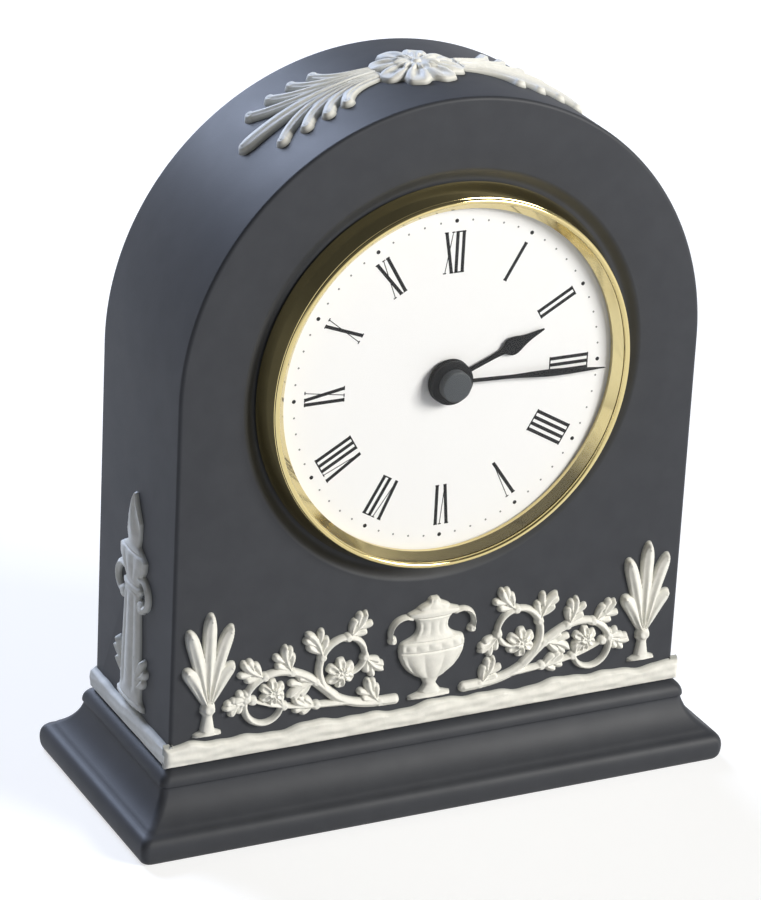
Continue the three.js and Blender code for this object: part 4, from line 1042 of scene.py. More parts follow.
def swept(s: float, t: float, heading: float, length: float, turn: float = 0.0, curl: float = 0.0,
          steps: int = 30) -> tuple[np.ndarray, np.ndarray]:
    """A line that starts at a place, heads at an angle, bends by a turn and ever more by a curl.

    Args:
        s: Place of its start across the wall.
        t: Place of its start up the wall.
        heading: Angle it starts at.
        length: Its length.
        turn: The even bend.
        curl: The growing bend.
        steps: Number of steps.

    Returns:
        Its points and its heading at each.
    """
    share = (np.arange(steps) + 0.5) / steps
    angle = heading + turn * share + curl * share ** 2
    stride = np.stack([np.cos(angle), np.sin(angle)], 1) * length / steps
    line = np.vstack([[(s, t)], np.array([s, t]) + np.cumsum(stride, 0)])
    at = np.linspace(0, 1, steps + 1)
    return line, heading + turn * at + curl * at ** 2


class Side(Enum):
    """Left and right, as the sign of a place across a wall."""

    LEFT = -1
    RIGHT = 1

    @property
    def label(self) -> str:
        """The side's name in the names of pieces and nodes."""
        return self.name.lower()


@dataclass
class Relief:
    """All the white relief: ground strip, frieze, side ornaments and the crown of leaves."""

    sizes: ClockSizes
    band_bottom: float = 16.0
    band_top: float = 20.3
    band_height: float = 1.25
    ground: float = 21.45
    urn_height: float = 22.0
    palmette_place: float = 47.4
    side_height: float = 44.5
    leaf_width: float = 3.4
    steps_per_station: int = 6
    rosette_radius: float = 9.3
    rosette_place: Pair = (-0.5, -0.2)
    crown_root: float = 8.8
    crown_tip: float = 38.5
    crown_half_width: float = 8.2
    crown_axis: float = 0.4
    crown_lobes: int = 4
    mounds: tuple[Wave, ...] = ((0.35, 0.23, 0.5), (0.3, 0.47, 1.0), (0.12, 1.13, 2.0))

    # Walls

    def front_wall(self, s: np.ndarray, t: np.ndarray, h: np.ndarray) -> np.ndarray:
        """Places points on the front of the case."""
        return np.stack([s, -self.sizes.half_depth - h, t], 1)

    def left_wall(self, s: np.ndarray, t: np.ndarray, h: np.ndarray) -> np.ndarray:
        """Places points on the left side."""
        return np.stack([-self.sizes.half_width - h, -s, t], 1)

    def right_wall(self, s: np.ndarray, t: np.ndarray, h: np.ndarray) -> np.ndarray:
        """Places points on the right side."""
        return np.stack([self.sizes.half_width + h, s, t], 1)

    def crown_wall(self, s: np.ndarray, t: np.ndarray, h: np.ndarray) -> np.ndarray:
        """Places points round the top of the arch.

        Args:
            s: Distance round the arch from its top.
            t: Place from front to back.
            h: Height off the wall.

        Returns:
            The points.
        """
        radius = self.sizes.half_width + h
        angle = s / self.sizes.half_width
        return np.stack([radius * np.sin(angle), t, self.sizes.arch_centre + radius * np.cos(angle)], 1)

    def mirrored(self, wall: Wall, side: Side) -> Wall:
        """A wall seen from its right, or mirrored for its left.

        Args:
            wall: The wall.
            side: The side it is for.

        Returns:
            The wall to use.
        """
        if side is Side.RIGHT:
            return wall

        def flipped(s: np.ndarray, t: np.ndarray, h: np.ndarray) -> np.ndarray:
            """Places points on the mirrored wall."""
            return wall(-s, t, h)
        return flipped

    def add(self, name: str, patch: ReliefPatch, wall: Wall, node: str, turn_round: bool = False) -> None:
        """Adds a relief piece to the case.

        Args:
            name: The piece's name.
            patch: Its heights.
            wall: The wall it lies on.
            node: The CAD node it stands for.
            turn_round: True on a mirrored wall, whose faces come out inside out.
        """
        mesh = patch.mesh(name, wall)
        if turn_round:
            mesh.flip_normals()
        add_piece(name, mesh, RELIEF_CLAY, "case", [node], crease=50.0)

    def add_one_side(self, name: str, patch: ReliefPatch, wall: Wall, node: str, side: Side) -> None:
        """Adds the left or the right of two pieces that mirror each other.

        Args:
            name: The piece's name without its side.
            patch: The heights of the right one.
            wall: The wall the right one lies on.
            node: The name of the CAD node it stands for, without its side.
            side: Which of the two it is.
        """
        self.add(f"{name}_{side.label}", patch, self.mirrored(wall, side), f"{node}_{side.label}",
                 side is Side.LEFT)

    # Ground strip

    def ground_strip(self, name: str, ends: Pair, wall: Wall, node: str, roughness: float = 1.0,
                     end_radius: float = 0.0) -> None:
        """A strip of rough ground along the foot of a wall.

        Args:
            name: The piece's name.
            ends: Where it starts and ends along the wall.
            wall: The wall it lies on.
            node: The CAD node it stands for.
            roughness: Share of the unevenness of its top and face.
            end_radius: How far from its ends it rounds back to the wall.
        """
        start, end = ends
        patch = ReliefPatch(start, end, self.band_bottom, self.band_top + 1.6, cell=0.18)
        s, t = np.meshgrid(patch.s, patch.t)
        inward = np.minimum(s - start, end - s)
        level = roughness * np.clip((inward - 1) / 4, 0, 1)
        top = self.band_top + level * sum(rise * np.sin(s * rate + phase)
                                          for rise, rate, phase in self.mounds)
        swell = (t - self.band_bottom) / (top - self.band_bottom)
        rough = 0.09 * np.sin(0.13 * s + 2.1 * t) * np.sin(0.41 * s + 0.7 * np.sin(1.1 * t))
        rough += 0.05 * np.sin(0.29 * s - 3.7 * t + np.sin(0.43 * s)) + 0.02 * np.sin(1.3 * s + 1.3 * t)
        shade = self.band_height * (0.8 + 0.2 * np.sin(swell * math.pi)) + roughness * rough
        away = np.minimum(top - t, t - self.band_bottom + 0.3)
        if end_radius:
            turn = np.clip(1 - (inward + 0.05) / end_radius, 0, 1)
            shade = shade * np.sqrt(1 - turn ** 2)
        patch.lift((slice(None), slice(None)), np.minimum(shade, away * 1.6))
        self.add(name, patch, wall, node)

    # Frieze

    def urn_detail(self, up: np.ndarray, across: np.ndarray) -> np.ndarray:
        """Gadroons on the belly and the lid, beads at the shoulder and flutes on the neck.

        Args:
            up: Millimetres up the urn.
            across: Place across it, from -1 to 1.

        Returns:
            The height to add.
        """
        turn = np.arcsin(across)
        gadroon = np.clip(1 - np.abs(up - 7.6) / 2.8, 0, 1) ** 0.4 * 0.32 * (np.abs(np.cos(5 * turn)) - 0.5)
        neck = np.clip(1 - np.abs(up - 15.6) / 1.7, 0, 1) ** 0.5 * 0.2 * (np.abs(np.cos(6 * turn)) - 0.6)
        band = -0.22 * np.exp(-((up - 10.7) / 0.16) ** 2) - 0.22 * np.exp(-((up - 12.9) / 0.16) ** 2)
        beads = 0.3 * np.exp(-((up - 11.8) / 0.55) ** 2) * (np.abs(np.cos(8 * turn)) - 0.45)
        rim = -0.3 * np.exp(-((up - 17.9) / 0.14) ** 2) - 0.25 * np.exp(-((up - 1.25) / 0.16) ** 2)
        lid = np.clip((up - 19.6) / 0.4, 0, 1) * 0.14 * (np.abs(np.cos(4 * turn)) - 0.5)
        return gadroon + neck + band + beads + rim + lid

    def urn(self) -> None:
        """The covered vase in the middle of the frieze."""
        profile = [(0, 4.6), (1.1, 4.6), (1.4, 2.6), (3.2, 1.3), (4.4, 1.9), (5, 3.2), (6.4, 5.0), (8, 6.2),
                   (9.6, 6.95), (11, 7.2), (12.2, 7.15), (13, 6.7), (13.6, 4.9), (14.4, 3.8), (15.5, 3.35),
                   (16.6, 3.45), (17.4, 3.9), (18.2, 5.6), (19.2, 5.6), (19.4, 4.0), (20.2, 3.2), (20.7, 2.2),
                   (21.1, 1.2), (21.4, 1.5), (22, 0.6)]
        patch = ReliefPatch(-11, 11, -0.6, self.urn_height + 1)
        patch.turned_form(0, profile, 2.2, self.urn_detail)
        for hand in (-1, 1):
            line, _ = swept(hand * 4.8, 17.9, math.pi / 2 - hand * 1.1, 7.6, -hand * 2.6)
            patch.ridge(line, np.linspace(0.62, 0.55, len(line)), np.full(len(line), 1.35),
                        long_grooves(2, 0.25))
            patch.knob(*line[-1], 1.0, 1.5, 0.35)
        self.add("relief_urn", patch, self.raised(self.front_wall), "frieze_urn")

    def raised(self, wall: Wall) -> Wall:
        """A wall whose heights start at the ground strip.

        Args:
            wall: The wall.

        Returns:
            The raised wall.
        """
        def on_ground(s: np.ndarray, t: np.ndarray, h: np.ndarray) -> np.ndarray:
            """Places points above the ground strip."""
            return wall(s, t + self.ground, h)
        return on_ground

    def stem(self, patch: ReliefPatch, line: np.ndarray, width: float) -> None:
        """A stem of even taper with a crease along it.

        Args:
            patch: The relief it joins.
            line: Points of its middle.
            width: Its width at the root.
        """
        count = len(line)
        patch.ridge(line, np.linspace(width / 2, width / 4, count), np.linspace(1.35, 1.15, count),
                    long_grooves(2, 0.22))

    def rosette(self, patch: ReliefPatch, s: float, t: float, radius: float) -> None:
        """A double ring of petals round a button.

        Args:
            patch: The relief it joins.
            s: Its place across the wall.
            t: Its place up the wall.
            radius: Reach of its petals.
        """
        count, height = 6, 1.45
        patch.petals(s, t, radius, height, count)
        patch.petals(s, t, radius * 0.62, height * 1.25, count, phase=math.pi / count, notch=0.24)
        patch.knob(s, t, radius * 0.24, height * 1.5, 0.2)

    def scroll(self, side: Side) -> None:
        """Scrolling acanthus: two spirals that end in rosettes, and a shoot.

        Args:
            side: The half of the frieze it fills.
        """
        patch = ReliefPatch(4, 47, -1.0, 24.5)
        per = self.steps_per_station
        first, first_heading = swept(7.6, 0.9, 0.02, 44, -0.1, 6.9, 13 * per)
        second, second_heading = swept(*first[4 * per], 0.75, 41, 0.5, -7.2, 14 * per)
        shoot, shoot_heading = swept(*first[3 * per], first_heading[3 * per] - 0.3, 21, -0.1, 0.5, 6 * per)
        growth = (
            (first, first_heading, 2.3, ((1, 0.8, 6), (7, -0.7, 6.5), (9, -0.8, 6), (11, -0.8, 5))),
            (second, second_heading, 2.2, ((2, -0.8, 6), (4, 0.75, 6), (6, 0.8, 6), (8, 0.8, 4.5))),
            (shoot, shoot_heading, 1.8, ((2, 0.05, 5), (4, 0.6, 5), (6, -0.1, 4))),
        )
        for line, heading, width, leaves in growth:
            self.stem(patch, line, width)
            for station, lean, length in leaves:
                place = line[station * per]
                patch.leaf(*place, heading[station * per] + lean, length * 1.05, math.copysign(0.8, lean),
                           self.leaf_width)
                patch.knob(*place, 1.1, 1.45, 0.2)
        self.rosette(patch, *first[-1], 3.3)
        self.rosette(patch, *second[-1], 2.9)
        self.add_one_side("relief_scroll", patch, self.raised(self.front_wall), "frieze_scroll", side)

    def palmette(self, patch: ReliefPatch, s: float, t: float, height: float) -> None:
        """A narrow fan of lobes whose tips curl outwards.

        Args:
            patch: The relief it joins.
            s: Its place across the wall.
            t: Its place up the wall.
            height: Length of its middle lobe.
        """
        for place in (-2, 2, -1, 1, 0):
            lean = place / 2
            line, _ = swept(s, t, math.pi / 2 - lean * 0.5, height * (1 - 0.5 * lean * lean), lean * 0.5,
                            -lean * 0.8)
            patch.lobe(line, 3.0, 1.55, 0.35, long_grooves(2, 0.5))
            patch.knob(*line[-3], 0.75, 1.75)
        patch.knob(s, t, 1.6, 1.9, 0.3)

    def end_palmette(self, side: Side) -> None:
        """A palmette on a small foot at one end of the frieze.

        Args:
            side: The end it stands at.
        """
        patch = ReliefPatch(self.palmette_place - 8, self.palmette_place + 6.5, -0.6, 28)
        foot = [(0, 3), (0.9, 3), (1.2, 1.6), (4.5, 1), (5.4, 1.8), (6.2, 1)]
        patch.turned_form(self.palmette_place, foot, 1.8)
        self.palmette(patch, self.palmette_place, 6, 20)
        self.add_one_side("relief_palmette", patch, self.raised(self.front_wall), "frieze_palmette", side)

    # Side ornaments

    def torch_detail(self, up: np.ndarray, across: np.ndarray) -> np.ndarray:
        """Flutes on the shaft, rings at its ends, gadroons on the bowl and tongues on the flame.

        Args:
            up: Millimetres up the torch.
            across: Place across it, from -1 to 1.

        Returns:
            The height to add.
        """
        turn = np.arcsin(across)
        shaft = np.clip((up - 3) / 1.2, 0, 1) * np.clip((24 - up) / 1.2, 0, 1)
        bowl = np.clip(1 - np.abs(up - 29.6) / 2.8, 0, 1) ** 0.5
        flame = np.clip((up - 34.5) / 2, 0, 1)
        rings = sum(-0.24 * np.exp(-((up - place) / 0.16) ** 2) for place in (1.4, 24.2, 25.6, 32.6))
        return (0.32 * shaft * (np.abs(np.cos(3.5 * turn)) - 0.7)
                + 0.3 * bowl * (np.abs(np.cos(5 * turn)) - 0.5)
                + 0.25 * flame * np.cos(4 * turn + 0.5 * up) + rings)

    def side_ornament(self, name: str, wall: Wall, node: str) -> None:
        """A tall fluted torch with a scroll on each side of its bowl, on one side of the case.

        Args:
            name: The piece's name.
            wall: The wall it lies on.
            node: The CAD node it stands for.
        """
        top = self.side_height
        profile = [(0, 6.2), (1.3, 6.2), (1.8, 5.2), (3, 4.8), (24, 3.5), (24.6, 4.3), (25.4, 4.3),
                   (26, 3.0), (28, 4.4), (30, 5.8), (32, 6.1), (32.8, 4.6), (34, 2.6), (36, 3.1), (39, 3.2),
                   (top - 3, 1.8), (top, 0.4)]
        patch = ReliefPatch(-9.5, 9.5, -0.6, top + 0.6)
        for hand in (-1, 1):
            line, _ = swept(hand * 3.4, 27.6, math.pi / 2 - hand * 1.2, 10.5, -hand * 3.6)
            patch.ridge(line, np.linspace(0.95, 0.75, len(line)), np.full(len(line), 1.1),
                        long_grooves(2, 0.3))
            patch.knob(*line[-1], 1.5, 1.25, 0.3)
            patch.leaf(hand * 2.2, 3, math.pi / 2 - hand * 0.3, 9.5, -hand * 0.5, self.leaf_width * 1.1)
        patch.turned_form(0, profile, 1.6, self.torch_detail)
        self.add(name, patch, self.raised(wall), node)

    # Crown

    def crown_rosette(self) -> None:
        """The large rosette at the top of the arch."""
        s, t = self.rosette_place
        reach = self.rosette_radius + 0.6
        patch = ReliefPatch(s - reach, s + reach, t - reach, t + reach, cell=0.12, edge_slope=1.6)
        patch.petals(s, t, self.rosette_radius, 1.6, 8, notch=0.2)
        patch.petals(s, t, self.rosette_radius * 0.6, 2.1, 8, phase=math.pi / 8, notch=0.2)
        patch.knob(s, t, self.rosette_radius * 0.2, 2.3, 0.3)
        self.add("relief_rosette", patch, self.crown_wall, "top_rosette")

    def crown_leaf(self, side: Side) -> None:
        """An acanthus leaf: a broad central lobe and four side lobes a side that end in curled knobs.

        Args:
            side: The side of the crown it lies on.
        """
        patch = ReliefPatch(self.crown_root - 1.0, self.crown_tip + 0.8, -9.5, 10.5, cell=0.12,
                            edge_slope=1.5, base=0.1, fullness=0.8)
        for hand in (-1, 1):
            for i in range(self.crown_lobes):
                tip = self.crown_tip - 4.2 - i * 4.9
                length = math.hypot(tip - self.crown_root, self.crown_half_width * 0.6)
                line, _ = swept(self.crown_root, self.crown_axis + hand * (0.9 + i * 0.5), hand * i * 0.04,
                                length, 0, hand * (0.85 + i * 0.14))
                patch.lobe(line, 2.9, 1.2, 0.75, long_grooves(3, 0.45), 0.92)
                patch.knob(*line[-2], 1.5, 1.45, 0.55)
        line, _ = swept(self.crown_root, self.crown_axis, 0, self.crown_tip - self.crown_root)
        patch.lobe(line, 4.4, 1.4, 0.4, long_grooves(3, 0.45), 0.92)
        self.add_one_side("relief_leaf", patch, self.crown_wall, "top_leaf", side)

    def build(self) -> None:
        """Lays all the relief on the case."""
        half_width, half_depth = self.sizes.half_width, self.sizes.half_depth
        front, wide = half_depth + 0.3, half_width + 1.2
        self.ground_strip("relief_ground_front", (-wide, wide), self.front_wall, "ground_band_front",
                          end_radius=1.2)
        self.ground_strip("relief_ground_left", (-half_depth, front), self.left_wall, "ground_band_left",
                          0.5)
        self.ground_strip("relief_ground_right", (-front, half_depth), self.right_wall, "ground_band_right",
                          0.5)
        self.urn()
        for side in Side:
            self.scroll(side)
            self.end_palmette(side)
            self.crown_leaf(side)
        self.side_ornament("relief_side_left", self.left_wall, "side_ornament_left")
        self.side_ornament("relief_side_right", self.right_wall, "side_ornament_right")
        self.crown_rosette()


# The dial insert


def smooth_line(knots: Sequence[Pair], steps: int) -> list[Pair]:
    """Points of a smooth curve through knots, a number of steps between each two.

    Args:
        knots: The knots.
        steps: Steps between two knots.

    Returns:
        The curve's points.
    """
    line = np.asarray(knots, float)
    padded = np.vstack([2 * line[0] - line[1], line, 2 * line[-1] - line[-2]])
    out = [tuple(line[0])]
    for i in range(len(line) - 1):
        a, b, c, d = padded[i:i + 4]
        for k in range(1, steps + 1):
            u = k / steps
            out.append(tuple(0.5 * (2 * b + (c - a) * u + (2 * a - 5 * b + 4 * c - d) * u * u
                                    + (3 * b - a - 3 * c + d) * u ** 3)))
    return out


@dataclass
class Insert:
    """The turned parts of the clock insert. Depths are behind the case's front face."""

    sizes: ClockSizes
    gap: float = 0.3
    wall: float = 0.45
    rim_over_skirt: float = 1.4
    rim_back: float = 1.19
    crest_inside_skirt: float = 0.8
    skirt_depth: float = 5.2
    bead: float = 0.55
    bead_over_ledge: float = 0.08
    rim_round: float = 0.25
    crystal_thickness: float = 1.0
    crystal_rise: float = 2.5
    crystal_rings: int = 24
    dial_front: float = -0.83
    dial_thickness: float = 0.8
    visible_radius: float = 34.9
    hole_radius: float = 3.3
    rim_depth: float = -3.84
    rim_thickness: float = 0.22

    @property
    def skirt(self) -> float:
        """Outer radius of the bezel's skirt."""
        return self.sizes.bezel_radius - self.rim_over_skirt

    @property
    def crest(self) -> float:
        """Radius of the bezel's bright bead."""
        return self.skirt - self.crest_inside_skirt

    @property
    def seat(self) -> float:
        """Radius of the parts that sit in the skirt."""
        return self.skirt - self.wall - self.gap

    @property
    def crystal_back(self) -> float:
        """Depth of the back of the crystal's rim."""
        return self.dial_front - 1.75

    @property
    def crystal_front(self) -> float:
        """Depth of the front of the crystal's rim."""
        return self.crystal_back - self.crystal_thickness

    def bezel(self) -> Mesh:
        """The spun ring: a bright bead, a fine groove, a steep wall, a rim on the soft lip and a skirt.

        Returns:
            A closed mesh.
        """
        rim = self.sizes.bezel_radius
        ledge = self.crystal_front - self.gap
        foot = ledge - self.bead_over_ledge
        outer = self.crest + self.bead
        bead = arc((self.crest, foot), self.bead, math.pi, 2 * math.pi, 20)
        edge = arc((rim - self.rim_round, self.rim_back - self.rim_round), self.rim_round, -0.31,
                   math.pi / 2, 6)
        top = (outer + 0.02, foot + 0.3)
        wall = [tuple(a + (b - a) * u for a, b in zip(top, edge[0])) for u in (0.0, 0.04, 0.5, 0.96)]
        inside = self.skirt - self.wall
        return turned("bezel", [
            *bead, (outer - 0.12, foot + 0.14), (outer - 0.1, foot + 0.24), *wall, *edge,
            (self.skirt, self.rim_back), (self.skirt, self.skirt_depth), (inside, self.skirt_depth),
            (inside, ledge), (self.crest - self.bead, ledge)])

    def reflector(self) -> Mesh:
        """The conical ring between the crystal's rim and the dial.

        Returns:
            A closed mesh.
        """
        back = self.dial_front - self.gap
        front = self.rim_depth + self.rim_thickness + 0.05
        return turned("reflector", [(self.seat, back), (self.seat, front), (self.crest - self.bead, front),
                                    (self.visible_radius, back - 0.9), (self.visible_radius, back)])

    def crystal(self) -> Mesh:
        """The domed window, thinner at its rim, which is held under the bead.

        Returns:
            A closed mesh.
        """
        step = self.crest - self.bead - 0.1
        rim_back = self.rim_depth + self.rim_thickness
        front, back = [], []
        front_rise = self.rim_depth - (self.crystal_front - self.crystal_rise)
        back_rise = front_rise + self.rim_thickness - self.crystal_thickness
        for i in range(self.crystal_rings + 1):
            radius = step * i / self.crystal_rings
            dome = 1 - (radius / step) ** 2
            front.append((radius, self.rim_depth - front_rise * dome))
            back.append((radius, rim_back - back_rise * dome))
        return turned("crystal", [*front, (self.seat, self.rim_depth), (self.seat, rim_back),
                                  *reversed(back)], 192)

    def dial(self) -> Mesh:
        """The flat white plate.

        Returns:
            A closed mesh.
        """
        back = self.dial_front + self.dial_thickness
        return turned("dial", [(self.hole_radius, self.dial_front), (self.seat, self.dial_front),
                               (self.seat, back), (self.hole_radius, back)])

    def build(self) -> None:
        """Builds the turned parts."""
        for name, mesh, finish, slot, node in (
                ("bezel_spun", self.bezel(), BRASS, Slot.BRASS, "bezel_ring"),
                ("reflector_turned", self.reflector(), BRASS, Slot.BRASS, "reflector_ring"),
                ("crystal_domed", self.crystal(), CRYSTAL, Slot.CRYSTAL, "crystal"),
                ("dial_lacquered", self.dial(), DIAL, Slot.DIAL, "dial_plate")):
            add_piece(name, mesh, finish, "insert", [node])


@dataclass
class InsertBack:
    """The parts of the insert that face the back. Depths are behind the case's front face."""

    insert: Insert
    pan_wall: float = 1.8
    pan_floor: float = 1.5
    pan_flange: float = 0.9
    gasket_thickness: float = 0.5
    box_half: float = 26.0
    lid_edge: float = 0.5
    lid_corner: float = 1.4
    bay_half_width: float = 23.25
    bay_half_height: float = 5.8
    cell_height: float = -18.5
    cell_radius: float = 5.25
    cell_segments: int = 72
    nub_radius: float = 1.9
    nub_length: float = 1.0
    band_length: float = 9.9
    knob_place: Pair = (14.45, -1.27)
    knob_way: float = 1.9
    knob_well: float = 7.4
    well_depth: float = 0.4
    panel: Pair = (11.0, 8.0)
    panel_place: Pair = (-11.0, 12.0)
    mark_depth: float = 0.25
    mark_arm: Pair = (1.5, 0.35)
    mark_place: float = 20.6
    vents: int = 5
    vent: Pair = (0.5, 3.2)
    vent_place: Pair = (4.0, 15.5)
    vent_step: float = 2.2
    vent_depth: float = 0.5
    gasket_steps: int = 24

    def depths(self, node: str) -> Pair:
        """Front and back of a CAD node, behind the case's front face."""
        low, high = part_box(node)
        return low.y / MM + self.insert.sizes.half_depth, high.y / MM + self.insert.sizes.half_depth

    def facing(self, outline: Sequence[Pair], depth: float) -> list[Point]:
        """Places an outline about the dial's axis at a depth."""
        sizes = self.insert.sizes
        return [(x, depth - sizes.half_depth, sizes.dial_height + v) for x, v in outline]

    def slab(self, name: str, outline: Sequence[Pair], front: float, back: float) -> Mesh:
        """A straight block between two depths."""
        return lofted(name, [self.facing(outline, front), self.facing(outline, back)])

    def pan(self) -> Mesh:
        """The round pan behind the dial, with notches for the corners of the movement's box.

        Returns:
            A closed mesh.
        """
        front, back = self.depths("insert_pan")
        floor_back, seat = front + self.pan_floor, self.insert.seat
        inside, reach = seat - self.pan_wall, span("insert_pan", 2) / 2
        flange_front = back - self.pan_flange
        body = turned("pan", [
            (self.insert.hole_radius, front), (seat, front), (seat, flange_front),
            (reach - 0.1, flange_front), (reach, flange_front + 0.1), (reach, back - 0.2),
            (reach - 0.2, back), (inside + 0.3, back), (inside, back - 0.3), (inside, floor_back + 0.5),
            (inside - 0.5, floor_back), (self.insert.hole_radius, floor_back)])
        half = self.box_half + self.insert.gap
        box = self.slab("box", rounded_outline(half, half, 0.4), floor_back + self.insert.gap, back + PAST)
        return combined("pan", body, [(box, "DIFFERENCE")])

    def gasket(self) -> Mesh:
        """The ring with two soft lips that grips the bore.

        Returns:
            A closed mesh.
        """
        front, back = self.depths("gasket_ring")
        outer = self.insert.sizes.gasket_radius
        inside = outer - self.gasket_thickness
        profile = [(inside, front)]
        for i in range(self.gasket_steps + 1):
            share = i / self.gasket_steps
            lip = 0.5 + 0.5 * math.cos(3 * math.pi * (share - 1 / 6))
            profile.append((outer - self.gasket_thickness * 0.6 * (1 - lip),
                            front + (back - front) * share))
        return turned("gasket", profile + [(inside, back)])

    def lid(self) -> Mesh:
        """The rear lid: open over the cell, with a well for the knob, a plain panel and pole marks.

        Returns:
            A closed mesh.
        """
        front, back = self.depths("back_cover")
        beyond = back + PAST
        rings = [self.facing(rounded_outline(self.box_half, self.box_half, self.lid_corner), front)]
        for i in range(6):
            angle = i / 5 * math.pi / 2
            inset = self.lid_edge * (1 - math.cos(angle))
            outline = rounded_outline(self.box_half - inset, self.box_half - inset, self.lid_corner - inset)
            rings.append(self.facing(outline, back - self.lid_edge * (1 - math.sin(angle))))
        bay = rounded_outline(self.bay_half_width, self.bay_half_height, 0.5, (0.0, self.cell_height))
        way, well = (rounded_outline(radius, radius, radius - 0.02, self.knob_place, steps)
                     for radius, steps in ((self.knob_way, 8), (self.knob_well, 16)))
        panel = rounded_outline(*self.panel, 1.0, self.panel_place)
        cuts = [self.slab("bay", bay, front - PAST, beyond),
                self.slab("knob_way", way, front - PAST, beyond),
                self.slab("knob_well", well, back - self.well_depth, beyond),
                self.slab("panel", panel, back - self.mark_depth, beyond)]
        above = self.cell_height + self.bay_half_height + 2.4
        long, thin = self.mark_arm
        for half_width, half_height, place in ((long, thin, -self.mark_place), (long, thin, self.mark_place),
                                               (thin, long, self.mark_place)):
            arm = rounded_outline(half_width, half_height, 0.15, (place, above))
            cuts.append(self.slab("pole_mark", arm, back - self.mark_depth, beyond))
        x, v = self.vent_place
        for place in range(self.vents):
            slot = rounded_outline(*self.vent, 0.45, (x + place * self.vent_step, v))
            cuts.append(self.slab("vent", slot, back - self.vent_depth, beyond))
        return combined("lid", lofted("lid", rings), [(cut, "DIFFERENCE") for cut in cuts])

    def rod(self, name: str, profile: Profile) -> Mesh:
        """Turns pairs of place along the cell and radius about the cell's axis.

        Args:
            name: The mesh's name.
            profile: The pairs, from end to end.

        Returns:
            A closed mesh.
        """
        low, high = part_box("battery_cell")
        middle_y, middle_z = (low.y + high.y) / 2 / MM, (low.z + high.z) / 2 / MM
        turns = [2 * math.pi * k / self.cell_segments for k in range(self.cell_segments)]
        return lofted(name, [[(x, middle_y + radius * math.cos(turn), middle_z + radius * math.sin(turn))
                              for turn in turns] for x, radius in profile])

    def cell(self) -> None:
        """The dry cell: a sleeve with a foil band, shrunk round a steel can with its button."""
        end, radius, nub = span("battery_cell", 0) / 2, self.cell_radius, self.nub_radius
        shoulder = end - self.nub_length
        foil = shoulder - self.band_length
        sleeve = [(-end + 0.15, radius - 0.9), (-end + 0.05, radius - 0.5), (-end + 0.45, radius - 0.03),
                  (foil - 0.1, radius - 0.03), (foil, radius - 0.1), (shoulder - 0.5, radius - 0.1),
                  (shoulder - 0.1, radius - 0.6)]
        band = [(foil - 0.05, radius - 0.2), (foil, radius), (shoulder - 0.5, radius),
                (shoulder - 0.1, radius - 0.35), (shoulder, radius - 0.9), (shoulder - 0.3, radius - 1.0)]
        can = [(-end, 3.2), (-end + 0.2, 3.6), (-end + 0.2, radius - 0.7), (shoulder - 0.2, radius - 0.7),
               (shoulder - 0.2, nub + 0.4), (shoulder, nub), (end - 0.2, nub), (end, nub - 0.2)]
        for name, profile, finish, nodes in (("cell_can", can, STEEL, ["battery_cell"]),
                                             ("cell_sleeve", sleeve, CELL, []),
                                             ("cell_band", band, COPPER, [])):
            add_piece(name, self.rod(name, profile), finish, "battery", nodes)

    def build(self) -> None:
        """Builds the back of the insert."""
        for name, mesh, finish, slot, node in (
                ("pan_moulded", self.pan(), PLASTIC, Slot.PLASTIC, "insert_pan"),
                ("gasket_moulded", self.gasket(), RUBBER, Slot.RUBBER, "gasket_ring"),
                ("lid_moulded", self.lid(), PLASTIC, Slot.PLASTIC, "back_cover")):
            add_piece(name, mesh, finish, "insert", [node])
        self.cell()


Stroke = tuple[Pair, Pair, float]


class Letter(Enum):
    """The letters of the Roman figures, as (width, strokes); heights run from 0 to 1."""

    I = (1.3, (((0.0, 0.0), (0.0, 1.0), 0.68),))
    V = (2.0, (((-0.72, 1.0), (0.0, 0.0), 0.68), ((0.78, 1.0), (0.0, 0.0), 0.16),
               ((-1.15, 0.985), (-0.3, 0.985), 0.22), ((0.42, 0.985), (1.1, 0.985), 0.22)))
    X = (2.0, (((-0.72, 1.0), (0.72, 0.0), 0.68), ((0.72, 1.0), (-0.72, 0.0), 0.16),
               ((-1.15, 0.985), (-0.3, 0.985), 0.22), ((0.42, 0.985), (1.08, 0.985), 0.22),
               ((0.3, 0.015), (1.15, 0.015), 0.22), ((-1.08, 0.015), (-0.42, 0.015), 0.22)))


